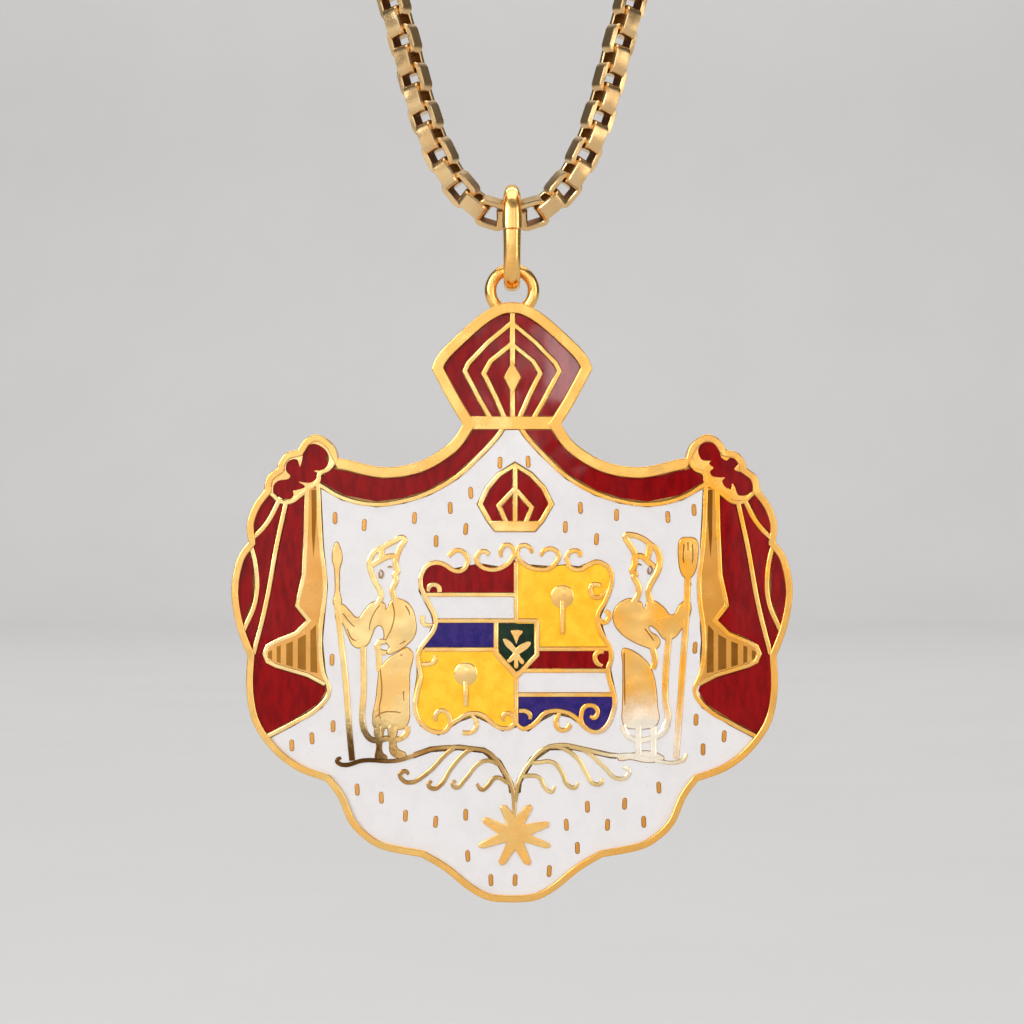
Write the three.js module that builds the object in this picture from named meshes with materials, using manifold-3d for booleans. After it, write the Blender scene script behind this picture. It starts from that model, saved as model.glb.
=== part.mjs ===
import * as THREE from 'three';
import { mergeVertices } from 'three/addons/utils/BufferGeometryUtils.js';
import Module from 'manifold-3d';

const wasm = await Module();
wasm.setup();
const { Manifold } = wasm;

// A gold box chain with an enamelled badge, in millimetres. +Z is up, the badge faces -Y and the
// wearer is at +Y. The origin is the middle of the clasp at the nape.

// Badge
const BADGE_WIDTH = 32;
const BADGE_HEIGHT = 34.1;
const BADGE_THICK = 2;
const PLATE_THICK = 0.8;
const RIM_WIDTH = 0.33;
const RIM_WIDTH_TOP = 0.62;
const WALL_WIDTH = 0.26;
const WALL_STEP = 0.15;
const ENAMEL_STEP = 0.06;
const CELL_GAP = 0.04;
const BALL_RADIUS = 0.66;

// Loop behind the badge's peak, jump ring and clasp
const LOOP_WIRE = 0.7;
const LOOP_INNER = 0.88;
const RING_WIRE = 0.88;
const RING_WIDTH = 1;
const RING_INNER = 1.06;
const RING_STRAIGHT = 2.37;
const RING_SEAM = 0.06;
const SEAM_DROP = 0.89;
const LINK_GAP = 0.05;
const PEAK_BELOW_LOOP = 0.72;
const CLASP_LENGTH = 10;
const CLASP_RADIUS = 1.5;
const CLASP_CHAMFER = 0.5;
const CLASP_GAP = 0.3;

// Chain: the square links' width over their sides and over their chamfers, and the turn of the links
// that shows two of their sides at once
const CHAIN_SIDE = 1.66;
const CHAIN_FLAT = 0.97;
const CHAIN_TURN = 25;

// Chain's loop as it hangs round a neck: across the shoulders, from front to back, and up
const CHAIN_WIDTH = 117;
const CHAIN_DEPTH = 127;
const CHAIN_HEIGHT = 166;

// Half of the chain's route: right, back and up from its lowest point, stretched to the sizes above
const ROUTE = [
  [0, 0, 0], [0.86, 0, 0.1], [1.75, 0, 0.5], [3.05, 0, 1.75], [4.25, 0.05, 3.85], [5.05, 0.1, 6],
  [5.7, 0.2, 8.3], [6.3, 0.3, 10.6], [9, 1, 20], [14.5, 3, 38], [21, 7, 58], [28.5, 13, 79],
  [37, 22, 100], [46, 35, 120], [54, 52, 137], [58.5, 72, 149], [56, 93, 157], [46, 110, 162],
  [31, 121, 165], [15, 126, 166], [5.3, 127, 166],
];
const NECK_AXIS = 45; // how far behind the lowest point the neck's axis stands
const ROUTE_STEPS = 2; // stations between two points of the route
const RING_STEPS = 8; // stations round each end of the jump ring
const WIRE_SIDES = 10;

// The badge is drawn on squares, 560 across its width and 596.5 down its height. X counts from its middle
// line and Y down from its peak.
const ACROSS = BADGE_WIDTH / 560;
const DOWN = BADGE_HEIGHT / 596.5;

// Left half of the outline, as stretches between corners. top marks the wide rim of crown and swag.
const OUTLINE = [
  { top: true, points: [[0, 0], [-13, 2], [-33, 13.5], [-63, 40.5], [-75, 54.5], [-80, 66.5]] }, // crown
  { top: true, points: [[-80, 66.5], [-63, 98.5], [-49, 121.5]] }, // crown side
  // swag
  { top: true, points: [
    [-49, 121.5], [-63, 140.5], [-93, 158.5], [-128, 163.8], [-163, 156.5], [-173, 155],
  ] },
  { top: false, points: [[-173, 155], [-178, 141.5], [-192, 131.5], [-205, 135.5], [-213, 146.5]] }, // knot
  { top: false, points: [[-213, 146.5], [-225, 150], [-232, 159.5], [-233, 164.5]] },
  { top: false, points: [[-233, 164.5], [-242, 171.5], [-245.5, 179.5], [-246, 186.5]] },
  { top: false, points: [[-246, 186.5], [-257, 201.5], [-263.5, 220.5], [-262, 238.5]] }, // drape
  { top: false, points: [[-262, 238.5], [-273, 254.5], [-279, 286.5], [-274, 321.5], [-263, 351.5]] },
  { top: false, points: [
    [-263, 351.5], [-264, 386.5], [-257, 419.5], [-237, 447.5], [-213, 465.5], [-185, 476],
  ] },
  // foot
  { top: false, points: [
    [-185, 476], [-173, 492.5], [-162, 517.5], [-148, 532.5], [-128, 544], [-90, 551.5],
  ] },
  { top: false, points: [[-90, 551.5], [-68, 564.5], [-43, 584.5], [-23, 594.5], [0, 596.5]] },
];

// Walls that stand alike on both sides: the left one is given. straight ones keep their corners.
const MIRRORED_WALLS = [
  // crown ribs
  { points: [
    [0, 20.5], [-23, 39.5], [-43, 60.5], [-47, 68.5], [-33, 95.5], [-21, 116.5],
  ], straight: true },
  { points: [[0, 41.5], [-21, 58.5], [-28, 70.5], [-16, 95.5], [-7, 116.5]], straight: true },
  // swag
  { points: [
    [-193, 180.5], [-168, 194.5], [-135, 201], [-108, 197.5], [-83, 189.5], [-55, 173.5], [-28, 148.5],
    [-13, 131.5], [-7, 121.5],
  ] },
  { points: [
    [-175, 154.5], [-182, 165.5], [-191, 170.5], [-193, 178.5], [-203, 185.5], [-210, 191.5],
    [-221, 198.5], [-231, 197.5], [-239, 190.5], [-247, 186.5],
  ] },
  // drape lining
  { points: [
    [-204, 183.5], [-205, 226.5], [-207, 271.5], [-212, 293.5], [-213.5, 301.5], [-201.5, 316.5],
    [-215, 329.5], [-235, 337.5], [-246, 349.5], [-235, 361], [-203, 370.5], [-186, 379.5],
  ], straight: true },
  { points: [
    [-193, 180.5], [-190, 241.5], [-186, 281.5], [-191, 336.5], [-188, 368.5], [-182, 386.5],
    [-191, 401.5], [-218, 418.5], [-245, 432.5],
  ] },
  { points: [[-225, 200.5], [-234, 241.5], [-245, 301.5], [-257, 349.5]] }, // drape folds
  { points: [[-230, 194.5], [-245, 221.5], [-261, 237.5]] },
  { points: [[-261, 237.5], [-255, 261.5], [-255, 296.5], [-267, 326.5]] },
];

// Walls that stand once
const WALLS = [
  { points: [[0.5, 1.5], [0.5, 121.5]], straight: true }, // crown's middle rib
  // small crown
  { points: [
    [3, 161.5], [-13, 171.5], [-24, 184.5], [-32, 200.5], [-23, 216.5], [-17, 224.5], [23, 224.5],
    [30, 216.5], [39, 200.5], [31, 184.5], [19, 171.5],
  ], straight: true, closed: true },
  { points: [[3, 185.5], [-13, 202.1], [-6, 218.5]], straight: true },
  { points: [[3, 185.5], [19.5, 204.1], [14, 218.5]], straight: true },
  { points: [[3, 162.5], [3, 220.5]], straight: true },
  // shield
  { points: [
    [4, 258.5], [-13, 265.5], [-31, 262.5], [-43, 264.5], [-58, 267.5], [-76, 259.5], [-89, 268.5],
    [-90, 286.5], [-78, 309.5], [-76, 318.5], [-80, 330.5], [-92, 346.5], [-92, 371.5], [-96.5, 399.5],
    [-89, 419.5], [-73, 427.5], [-53, 414.5], [-37, 409], [-23, 415.5], [-9, 423.5], [4, 419.5],
  ] },
  { points: [
    [4, 258.5], [17, 263.5], [37, 265], [52, 263.5], [67, 265.5], [84, 258.5], [97, 267.5], [98, 283.5],
    [85, 313.5], [90, 331.5], [98, 348.5], [95.5, 364.5], [102, 396.5], [97, 415.5], [81, 425.5],
    [59, 410.5], [42, 406.5], [27, 414.5], [16, 423.5], [4, 419.5],
  ] },
  { points: [[4, 258.5], [4, 316.5]], straight: true },
  { points: [[4, 372.5], [4, 420.5]], straight: true },
  { points: [[-88, 290.5], [4, 290.5]], straight: true },
  { points: [[-76, 316.5], [25, 316.5]], straight: true },
  { points: [[-87, 345], [-16, 345]], straight: true },
  { points: [[25, 344.5], [97, 344.5]], straight: true },
  { points: [[11, 366], [95, 366]], straight: true },
  { points: [[4, 390], [100, 390]], straight: true },
  // middle shield
  { points: [
    [-16, 316.5], [-16, 349.5], [4.5, 372], [25, 350.5], [25, 316.5],
  ], straight: true },
  // branch
  { points: [
    [3, 511.5], [-1, 479.5], [-13, 457.5], [-28, 445.5], [-53, 442.5], [-81, 444.5], [-103, 452.5],
    [-133, 456.5], [-166, 459.5],
  ] },
  { points: [
    [3, 511.5], [7, 476.5], [20, 454.5], [37, 442.5], [62, 442.5], [98, 450.5], [127, 452.5],
    [171, 454.5],
  ] },
];

// Raised gold figures that stand alike on both sides, and those that stand once
const MIRRORED_FIGURES = [
  // drape lining
  [
    [-205, 184.5], [-192, 184.5], [-187, 286.5], [-191, 318.5], [-190, 356.5], [-185, 379.5],
    [-203, 370.5], [-235, 361], [-246, 349.5], [-235, 337.5], [-215, 329.5], [-201.5, 316.5],
    [-213.5, 301.5], [-207, 271.5],
  ],
];
const FIGURES = [
  [[-52, 113.5], [52, 113.5], [55, 126.5], [-55, 126.5]], // band of the crown
  [[0.5, 58.5], [9, 74.5], [0.5, 92.5], [-8, 74.5]], // diamond on its rib
  [[-23, 217.5], [30, 217.5], [23, 228], [-17, 228]], // band of the small crown
  // left supporter: spear
  [
    [-174.5, 237.5], [-168.5, 254.5], [-171.5, 271.5], [-165.5, 356.5], [-160.5, 406.5], [-156, 456.5],
    [-161, 456.5], [-165.5, 406.5], [-170, 356.5], [-175, 271.5], [-179, 254.5],
  ],
  // head
  [
    [-105, 233], [-115, 252.5], [-114, 271.5], [-117, 284.5], [-119, 293.5], [-128, 300.5],
    [-141, 271.5], [-143, 256.5], [-133, 244.5],
  ],
  // cloak and arm
  [
    [-129, 297.5], [-122, 300.5], [-115, 293.5], [-103, 300.5], [-95, 322.5], [-103, 340.5],
    [-122, 350.5], [-141, 336.5], [-145, 344.5], [-156, 343.5], [-169, 318.5], [-175.5, 313.5],
    [-173, 298.5], [-161, 307.5], [-153, 315], [-142, 302.5],
  ],
  // tunic
  [
    [-121, 348.5], [-102, 345], [-102, 426.5], [-111, 433.5], [-134, 434.5], [-139, 416.5],
    [-137.5, 396.5], [-133, 366.5],
  ],
  [[-135, 432.5], [-129, 432.5], [-128, 446.5], [-106, 448.5], [-106, 456.5], [-135, 456.5]], // legs
  [[-121, 431.5], [-115, 431.5], [-114, 448.5], [-121, 448.5]],
  [
    [-150.5, 341.5], [-145, 341.5], [-145, 386.5], [-146, 418.5], [-135, 428.5], [-137, 434.5],
    [-151, 422.5],
  ],
  // right supporter: head
  [
    [112, 230.5], [128, 232.5], [147, 249.5], [146, 269.5], [135, 288.5], [136, 296.5], [128, 296.5],
    [121, 276.5], [119, 258.5],
  ],
  // cloak and arm
  [
    [128, 286.5], [136, 293.5], [158, 309.5], [168, 298.5], [177, 298.5], [177, 314.5], [161, 337.5],
    [146, 336.5], [142, 346.5], [128, 342.5], [108, 333.5], [100, 316.5], [102, 299.5], [112, 290.5],
  ],
  // tunic
  [
    [111, 343.5], [128, 348.5], [140, 364.5], [145, 391.5], [146, 414.5], [155, 418.5], [142, 432.5],
    [124, 434.5], [110.5, 424.5],
  ],
  // legs
  [
    [123, 431.5], [128.5, 431.5], [128.5, 448.5], [137, 448.5], [137, 429.5], [143.5, 429.5],
    [144, 456.5], [121, 456.5],
  ],
  [[155, 336.5], [160, 336.5], [155, 356.5], [156, 418.5], [151, 418.5], [150, 356.5]],
  // paddle
  [
    [168, 236.5], [184, 236.5], [185, 258.5], [178, 273.5], [173, 336.5], [166, 401.5], [166, 453.5],
    [160, 453.5], [162, 401.5], [168.5, 336.5], [171.5, 273.5], [166, 258.5],
  ],
  // star
  [
    [-8, 501.5], [2, 507.5], [7, 507.5], [18, 499.5], [11, 524.5], [35, 517.5], [24, 528.5], [38, 540.5],
    [9, 534.5], [17, 558.5], [3, 546.5], [-12, 558.5], [-4, 535.5], [-33, 540.5], [-17, 527.5],
    [-29, 511.5], [-6, 522.5],
  ],
  [[47.7, 296.5], [52.3, 296.5], [52.3, 329.5], [47.7, 329.5]], // staffs in the yellow quarters
  [[-48.3, 376.5], [-43.7, 376.5], [-43.7, 401.5], [-48.3, 401.5]],
];
const BALLS = [[50, 292.5], [-46, 369.5]];

// Enamel cells: a spot inside each. pair ones stand alike on both sides, and the left one is given.
const GOLD = 0xe8b45a;
const RED = 0x8f0f14;
const WHITE = 0xe6e6ea;
const YELLOW = 0xf4bd32;
const BLUE = 0x35287a;
const GREEN = 0x16391f;
const CELLS = [
  { name: 'crown_enamel_outer', spot: [-63, 66.5], colour: RED, pair: true },
  { name: 'crown_enamel_middle', spot: [-35, 68.5], colour: RED, pair: true },
  { name: 'crown_enamel_inner', spot: [-17, 71.5], colour: RED, pair: true },
  { name: 'swag_enamel', spot: [-73, 171.5], colour: RED, pair: true },
  { name: 'knot_enamel', spot: [-195, 152.5], colour: RED, pair: true },
  { name: 'drape_enamel', spot: [-228, 296.5], colour: RED, pair: true },
  { name: 'drape_enamel_fold', spot: [-245, 256.5], colour: RED, pair: true },
  { name: 'drape_enamel_upper', spot: [-251, 211.5], colour: RED, pair: true },
  { name: 'drape_enamel_side', spot: [-265, 286.5], colour: RED, pair: true },
  { name: 'ground_enamel', spot: [-73, 496.5], colour: WHITE },
  { name: 'small_crown_enamel_outer_left', spot: [-23, 201.5], colour: RED },
  { name: 'small_crown_enamel_inner_left', spot: [-4, 201.5], colour: RED },
  { name: 'small_crown_enamel_inner_right', spot: [10, 201.5], colour: RED },
  { name: 'small_crown_enamel_outer_right', spot: [27, 201.5], colour: RED },
  { name: 'shield_red_left', spot: [-33, 278.5], colour: RED },
  { name: 'shield_white_left', spot: [-33, 303.5], colour: WHITE },
  { name: 'shield_blue_left', spot: [-43, 330.5], colour: BLUE },
  { name: 'shield_yellow_right', spot: [77, 306.5], colour: YELLOW },
  { name: 'middle_shield_enamel', spot: [4, 341.5], colour: GREEN },
  { name: 'shield_yellow_left', spot: [-73, 386.5], colour: YELLOW },
  { name: 'shield_red_right', spot: [57, 355.5], colour: RED },
  { name: 'shield_white_right', spot: [57, 377.5], colour: WHITE },
  { name: 'shield_blue_right', spot: [37, 398.5], colour: BLUE },
];

// Worked out from the sizes above
const BACK = 0.475 * BADGE_THICK;
const PLATE_FRONT = BACK - PLATE_THICK;
const RIM_FRONT = BACK - BADGE_THICK;
const WALL_FRONT = RIM_FRONT + WALL_STEP;
const ENAMEL_FRONT = WALL_FRONT + ENAMEL_STEP;
const RING_BEND = RING_INNER + RING_WIRE / 2;
const LOOP_BEND = LOOP_INNER + LOOP_WIRE / 2;
const LOOP_Z = LINK_GAP - RING_STRAIGHT - RING_INNER - LOOP_INNER;
const PEAK_Z = LOOP_Z - PEAK_BELOW_LOOP;

const square = ([x, y]) => new THREE.Vector2(x * ACROSS, PEAK_Z - y * DOWN);
const mirrored = (points) => points.map(([x, y]) => [-x, y]);

// A line through its points on the squares, rounded unless it keeps its corners
function line({ points, straight }, stations = 1) {
  const placed = points.map(square);
  if (straight) return placed;
  return new THREE.SplineCurve(placed).getPoints((placed.length - 1) * stations);
}

// The points of a line moved sideways, mitred at its corners
function beside(points, distance, closed = false) {
  const last = points.length - 1;
  return points.map((point, i) => {
    const before = points[i > 0 ? i - 1 : closed ? last : 0];
    const after = points[i < last ? i + 1 : closed ? 0 : last];
    const into = point.clone().sub(before).normalize();
    const out = after.clone().sub(point).normalize();
    const along = into.clone().add(out).normalize();
    const lean = Math.max(along.dot(into.lengthSq() > 0 ? into : out), 0.5);
    return new THREE.Vector2(-along.y, along.x).multiplyScalar(distance / lean).add(point);
  });
}

// A flat strip of one width along a line, or round a closed one
function strip(points, width, closed) {
  const left = beside(points, width / 2, closed);
  const right = beside(points, -width / 2, closed).reverse();
  if (!closed) return new THREE.Shape([...left, ...right]);
  const size = (points) => Math.abs(THREE.ShapeUtils.area(points));
  const [outer, inner] = size(left) > size(right) ? [left, right] : [right, left];
  const ring = new THREE.Shape(outer);
  ring.holes.push(new THREE.Path(inner));
  return ring;
}

// A filled outline, made larger all round by a margin
function filled(points, margin) {
  return new THREE.Shape(beside(points, -margin * Math.sign(THREE.ShapeUtils.area(points)), true));
}

function disc(centre, radius, sides = 12) {
  const turns = Array.from({ length: sides }, (_, i) => (i / sides) * 2 * Math.PI);
  const spokes = turns.map((turn) => new THREE.Vector2(Math.cos(turn), Math.sin(turn)));
  return new THREE.Shape(spokes.map((spoke) => spoke.multiplyScalar(radius).add(centre)));
}

// A closed geometry as a solid that can be joined and cut
function solid(geometry) {
  geometry.deleteAttribute('normal');
  geometry.deleteAttribute('uv');
  const merged = mergeVertices(geometry, 1e-5);
  return new Manifold(
    new wasm.Mesh({
      numProp: 3,
      vertProperties: merged.attributes.position.array,
      triVerts: Uint32Array.from(merged.index.array),
    }),
  );
}

// A flat shape of the badge given thickness from a back to a front, both along Y
function prism(shape, back, front) {
  const geometry = new THREE.ExtrudeGeometry(shape, { depth: back - front, bevelEnabled: false });
  return solid(geometry.rotateX(Math.PI / 2).translate(0, back, 0));
}

// The outline, its rim and the walls between the cells. A margin widens the last two,
// to cut the enamel.
const stretches = OUTLINE.flatMap(({ top, points }) => [
  { width: top ? RIM_WIDTH_TOP : RIM_WIDTH, points: line({ points }, 2) },
  { width: top ? RIM_WIDTH_TOP : RIM_WIDTH, points: line({ points: mirrored(points) }, 2) },
]);
const leftHalf = OUTLINE.flatMap(({ points }) => line({ points }, 2).slice(1));
const rightHalf = leftHalf.slice(0, -1).reverse().map(({ x, y }) => new THREE.Vector2(-x, y));
const silhouette = new THREE.Shape([...leftHalf, ...rightHalf, new THREE.Vector2(0, PEAK_Z)]);

function rim(margin, back, front) {
  const pieces = stretches.flatMap(({ width, points }) => [
    prism(strip(points, 2 * (width + margin)), back, front),
    prism(disc(points[0], width + margin), back, front),
    prism(disc(points[points.length - 1], width + margin), back, front),
  ]);
  return Manifold.union(pieces);
}

function walls(margin, back, front) {
  const lines = [
    ...WALLS,
    ...MIRRORED_WALLS,
    ...MIRRORED_WALLS.map(({ points, straight }) => ({ points: mirrored(points), straight })),
  ];
  const figures = [...FIGURES, ...MIRRORED_FIGURES, ...MIRRORED_FIGURES.map(mirrored)];
  const outlines = figures.map((points) => points.map(square));
  const shapes = [
    ...lines.map((wall) => strip(line(wall), WALL_WIDTH + 2 * margin, wall.closed)),
    ...outlines.map((points) => filled(points, margin)),
    ...BALLS.map((ball) => disc(square(ball), BALL_RADIUS + margin)),
  ];
  return Manifold.union(shapes.map((shape) => prism(shape, back, front)));
}

// Gold of the badge: plate, rim, walls and figures, and the loop that is soldered behind the peak
function badgeGold() {
  const inside = prism(silhouette, PLATE_FRONT, 2 * RIM_FRONT).subtract(rim(0, BACK, 3 * RIM_FRONT));
  const sunk = inside.subtract(walls(0, BACK, WALL_FRONT));
  const ring = new THREE.TorusGeometry(LOOP_BEND, LOOP_WIRE / 2, WIRE_SIDES, 24);
  const loop = solid(ring.rotateX(Math.PI / 2).translate(0, 0, LOOP_Z));
  return prism(silhouette, BACK, RIM_FRONT).subtract(sunk).add(loop.subtract(inside));
}

// Enamel: the room between the walls, parted into its cells
function enamelCells() {
  const room = prism(silhouette, PLATE_FRONT - CELL_GAP, ENAMEL_FRONT)
    .subtract(rim(CELL_GAP, BACK, RIM_FRONT))
    .subtract(walls(CELL_GAP, BACK, RIM_FRONT));
  const pieces = room.decompose();
  const cells = CELLS.flatMap(({ name, spot, colour, pair }) =>
    pair
      ? [
          { name: `${name}_left`, spot, colour },
          { name: `${name}_right`, spot: mirrored([spot])[0], colour },
        ]
      : [{ name, spot, colour }],
  );
  return cells.map(({ name, spot, colour }) => {
    const { x, y } = square(spot);
    const cube = new THREE.BoxGeometry(CELL_GAP, CELL_GAP, CELL_GAP);
    const probe = solid(cube.translate(x, PLATE_FRONT - 2 * CELL_GAP, y));
    return { name, colour, body: pieces.find((piece) => !piece.intersect(probe).isEmpty()) };
  });
}

// A path with stations of its own, and the way its section's first side faces at each
class Stations extends THREE.Curve {
  constructor(points, facing) {
    super();
    this.points = points;
    this.facing = facing;
  }

  getPoint(t) {
    return this.points[Math.round(t * (this.points.length - 1))].clone();
  }

  getSpacedPoints() {
    return this.points;
  }

  computeFrenetFrames() {
    const frames = { tangents: [], normals: [], binormals: [] };
    this.points.forEach((point, i) => {
      const before = this.points[Math.max(i - 1, 0)];
      const after = this.points[Math.min(i + 1, this.points.length - 1)];
      const tangent = after.clone().sub(before).normalize();
      const normal = this.facing(point, tangent);
      normal.addScaledVector(tangent, -normal.dot(tangent)).normalize();
      frames.tangents.push(tangent);
      frames.normals.push(normal);
      frames.binormals.push(new THREE.Vector3().crossVectors(tangent, normal));
    });
    return frames;
  }
}

function tube(section, path) {
  const shape = new THREE.Shape(section.map(([x, y]) => new THREE.Vector2(x, y)));
  const steps = path.points.length - 1;
  return new THREE.ExtrudeGeometry(shape, { extrudePath: path, steps, bevelEnabled: false });
}

// The chain's outer shape. The links' sides face away from the neck, turned a little on both legs.
function chainGeometry() {
  const widest = Math.max(...ROUTE.map(([x]) => x));
  const [, deepest, highest] = ROUTE[ROUTE.length - 1];
  const stretch = new THREE.Vector3(CHAIN_WIDTH / 2 / widest, CHAIN_DEPTH / deepest, CHAIN_HEIGHT / highest);
  const right = ROUTE.map(([x, y, z]) => new THREE.Vector3(x, y, z).multiply(stretch));
  right[right.length - 1].setX(CLASP_LENGTH / 2 + CLASP_GAP);
  const left = right.slice(1).reverse().map(({ x, y, z }) => new THREE.Vector3(-x, y, z));
  const spans = left.length + right.length - 1;
  const route = new THREE.CatmullRomCurve3([...left, ...right], false, 'catmullrom', 0.5);
  const facing = (point, tangent) => {
    const turn = THREE.MathUtils.degToRad(CHAIN_TURN) * THREE.MathUtils.clamp(point.x / right[4].x, -1, 1);
    return new THREE.Vector3(point.x, point.y - NECK_AXIS, 0).applyAxisAngle(tangent, turn);
  };
  const near = CHAIN_FLAT / 2;
  const far = CHAIN_SIDE / 2;
  const quarter = [[far, -near], [far, near], [near, far], [-near, far]];
  const section = [...quarter, ...quarter.map(([x, y]) => [-x, -y])];
  return tube(section, new Stations(route.getPoints(spans * ROUTE_STEPS), facing));
}

// The long ring round the chain's lowest link, from one side of its seam to the other
function jumpRingGeometry() {
  const bend = (start, centre) =>
    Array.from({ length: RING_STEPS + 1 }, (_, i) => {
      const turn = start + (i / RING_STEPS) * Math.PI;
      return new THREE.Vector3(0, RING_BEND * Math.cos(turn), centre + RING_BEND * Math.sin(turn));
    });
  const points = [
    new THREE.Vector3(0, -RING_BEND, -SEAM_DROP - RING_SEAM / 2),
    ...bend(Math.PI, -RING_STRAIGHT),
    ...bend(0, 0),
    new THREE.Vector3(0, -RING_BEND, -SEAM_DROP + RING_SEAM / 2),
  ];
  const section = Array.from({ length: WIRE_SIDES }, (_, i) => {
    const turn = ((i + 0.5) / WIRE_SIDES) * 2 * Math.PI;
    return [(RING_WIDTH / 2) * Math.cos(turn), (RING_WIRE / 2) * Math.sin(turn)];
  });
  return tube(section, new Stations(points, () => new THREE.Vector3(1, 0, 0)));
}

// The plain barrel that closes the chain at the nape
function claspGeometry() {
  const end = CLASP_LENGTH / 2;
  const profile = [
    [0, -end],
    [CLASP_RADIUS - CLASP_CHAMFER, -end],
    [CLASP_RADIUS, CLASP_CHAMFER - end],
    [CLASP_RADIUS, end - CLASP_CHAMFER],
    [CLASP_RADIUS - CLASP_CHAMFER, end],
    [0, end],
  ].map(([radius, along]) => new THREE.Vector2(radius, along));
  return new THREE.LatheGeometry(profile, 16).rotateZ(Math.PI / 2);
}

function named(name, geometry, colour, metalness, roughness) {
  const material = new THREE.MeshStandardMaterial({ color: colour, metalness, roughness });
  const mesh = new THREE.Mesh(geometry, material);
  mesh.name = name;
  return mesh;
}

function fromSolid(body) {
  const { vertProperties, triVerts } = body.getMesh();
  const geometry = new THREE.BufferGeometry();
  geometry.setAttribute('position', new THREE.BufferAttribute(vertProperties, 3));
  geometry.setIndex(new THREE.BufferAttribute(triVerts, 1));
  geometry.computeVertexNormals();
  return geometry;
}

// The chain's lowest point is the badge's place, and the clasp is the origin.
const hanging = new THREE.Group();
hanging.position.set(0, -CHAIN_DEPTH, -CHAIN_HEIGHT);
hanging.add(named('chain', chainGeometry(), GOLD, 1, 0.3));
hanging.add(named('jump_ring', jumpRingGeometry(), GOLD, 1, 0.25));
hanging.add(named('pendant_frame', fromSolid(badgeGold()), GOLD, 1, 0.3));
for (const { name, colour, body } of enamelCells()) {
  hanging.add(named(name, fromSolid(body), colour, 0, 0.2));
}

const necklace = new THREE.Group();
necklace.add(named('clasp', claspGeometry(), GOLD, 1, 0.3));
necklace.add(hanging);

export default necklace;
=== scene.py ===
"""A chain of office: a gold badge with enamelled arms under a crown, hung by a ring on a box chain."""

import math

import bpy
from mathutils import Matrix, Vector


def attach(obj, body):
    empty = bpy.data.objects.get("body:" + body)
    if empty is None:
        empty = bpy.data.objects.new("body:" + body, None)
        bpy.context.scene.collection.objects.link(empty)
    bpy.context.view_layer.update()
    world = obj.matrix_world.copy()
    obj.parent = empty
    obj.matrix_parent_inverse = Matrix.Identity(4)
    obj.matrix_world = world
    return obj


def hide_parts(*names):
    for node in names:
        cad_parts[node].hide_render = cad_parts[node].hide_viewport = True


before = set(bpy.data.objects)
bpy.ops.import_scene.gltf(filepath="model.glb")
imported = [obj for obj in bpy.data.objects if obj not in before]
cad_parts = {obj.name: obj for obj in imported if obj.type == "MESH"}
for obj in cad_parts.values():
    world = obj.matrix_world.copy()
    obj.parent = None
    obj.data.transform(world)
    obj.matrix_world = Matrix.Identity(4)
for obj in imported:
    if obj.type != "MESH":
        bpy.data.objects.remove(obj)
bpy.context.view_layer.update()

# The scene is modelled in millimetres and made smaller when a piece is put in its place
MM = 0.001

# Badge: its size, and heights before its middle plane
BADGE_WIDTH = 32
BADGE_HEIGHT = 34.1
BACK = -0.95
PLATE_FRONT = -0.15
POCKET_FRONT = 0.835
EDGE_FRONT = 0.846
WALL_FRONT = 0.9

# Flat pieces: height of foot, height of front and rounding of the edges
RIM_SIZES = (BACK, 1.05, 0.06)
BACK_SIZES = (BACK, PLATE_FRONT, 0.08)
FIELD_SIZES = (PLATE_FRONT, POCKET_FRONT, 0.01)
POCKET_SIZES = (0.2, POCKET_FRONT, 0.01)
FIGURE_SIZES = (0.3, 0.93, 0.05)
LINING_SIZES = (0.3, 0.88, 0.05)
BODY_SIZES = (0.5, 0.88, 0.04)
BODY_EDGE_SIZES = (0.6, EDGE_FRONT, 0.002)
KNOT_SIZES = (0.6, 0.895, 0.03)
SPRIG_SIZES = (0.6, 0.875, 0.03)
TUFT_SIZES = (0.6, 0.88, 0.02)
TUFT_EDGE_SIZES = (0.6, EDGE_FRONT + 0.01, 0.02)
SLOT_SIZES = (0.86, 0.89, 0.005)

# Each flat piece stands this much higher than the one before it, where they overlap
STEP = 0.002

# Lines: width, height of front and height of foot
WALL_SIZES = (0.26, WALL_FRONT, 0.3)
SCROLL_SIZES = (0.27, WALL_FRONT + 0.01, 0.6)
BRANCH_SIZES = (0.25, WALL_FRONT, 0.6)
BODY_LINE_SIZES = (0.34, WALL_FRONT, 0.6)
ENGRAVED_SIZES = (0.07, WALL_FRONT + 0.006, 0.8)

# Shares of a line's width: rounded at each side, and left at the tips of scrolls, engraving and dark edges
SHOULDER = 0.2
TIP = 0.7
ENGRAVED_TIP = 0.6
EDGE_TIP = 0.5

# A line is scaled about the height of LEVEL, by STAGGER more than the line before it
LEVEL = 0.8
STAGGER = 0.004

# Smaller sizes of the badge
RIM_WIDTH = 0.4
RIM_WIDTH_TOP = 0.62
BACK_INSET = 0.1
EDGE_WIDTH = 0.035
FIELD_GROWTH = 0.11
TUFT_LENGTH = 0.62
TUFT_WIDTH = 0.2
TUFT_LEAN = math.radians(4)
BALL_RADIUS = 0.68
BALL_FOOT = 0.82
BALL_FLATNESS = 0.14

# Loop and jump ring: wire, radii of bends, and shares by which the ring's wire is thicker or thinner
PEAK_Z = -4.98
LOOP_Z = -4.26
LOOP_WIRE = 0.67
LOOP_BEND = 1.23
RING_WIRE = 0.88
RING_WIDTH = 1.0
RING_BEND = 1.5
RING_STRAIGHT = 2.37
RING_SEAM = 0.1
SEAM_DROP = 0.89
RING_ABOVE_SEAM = 1.12
RING_THINNER_AT_TOP = 0.4
RING_BELOW_SEAM = 0.96
RING_SQUARENESS = 0.8

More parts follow.
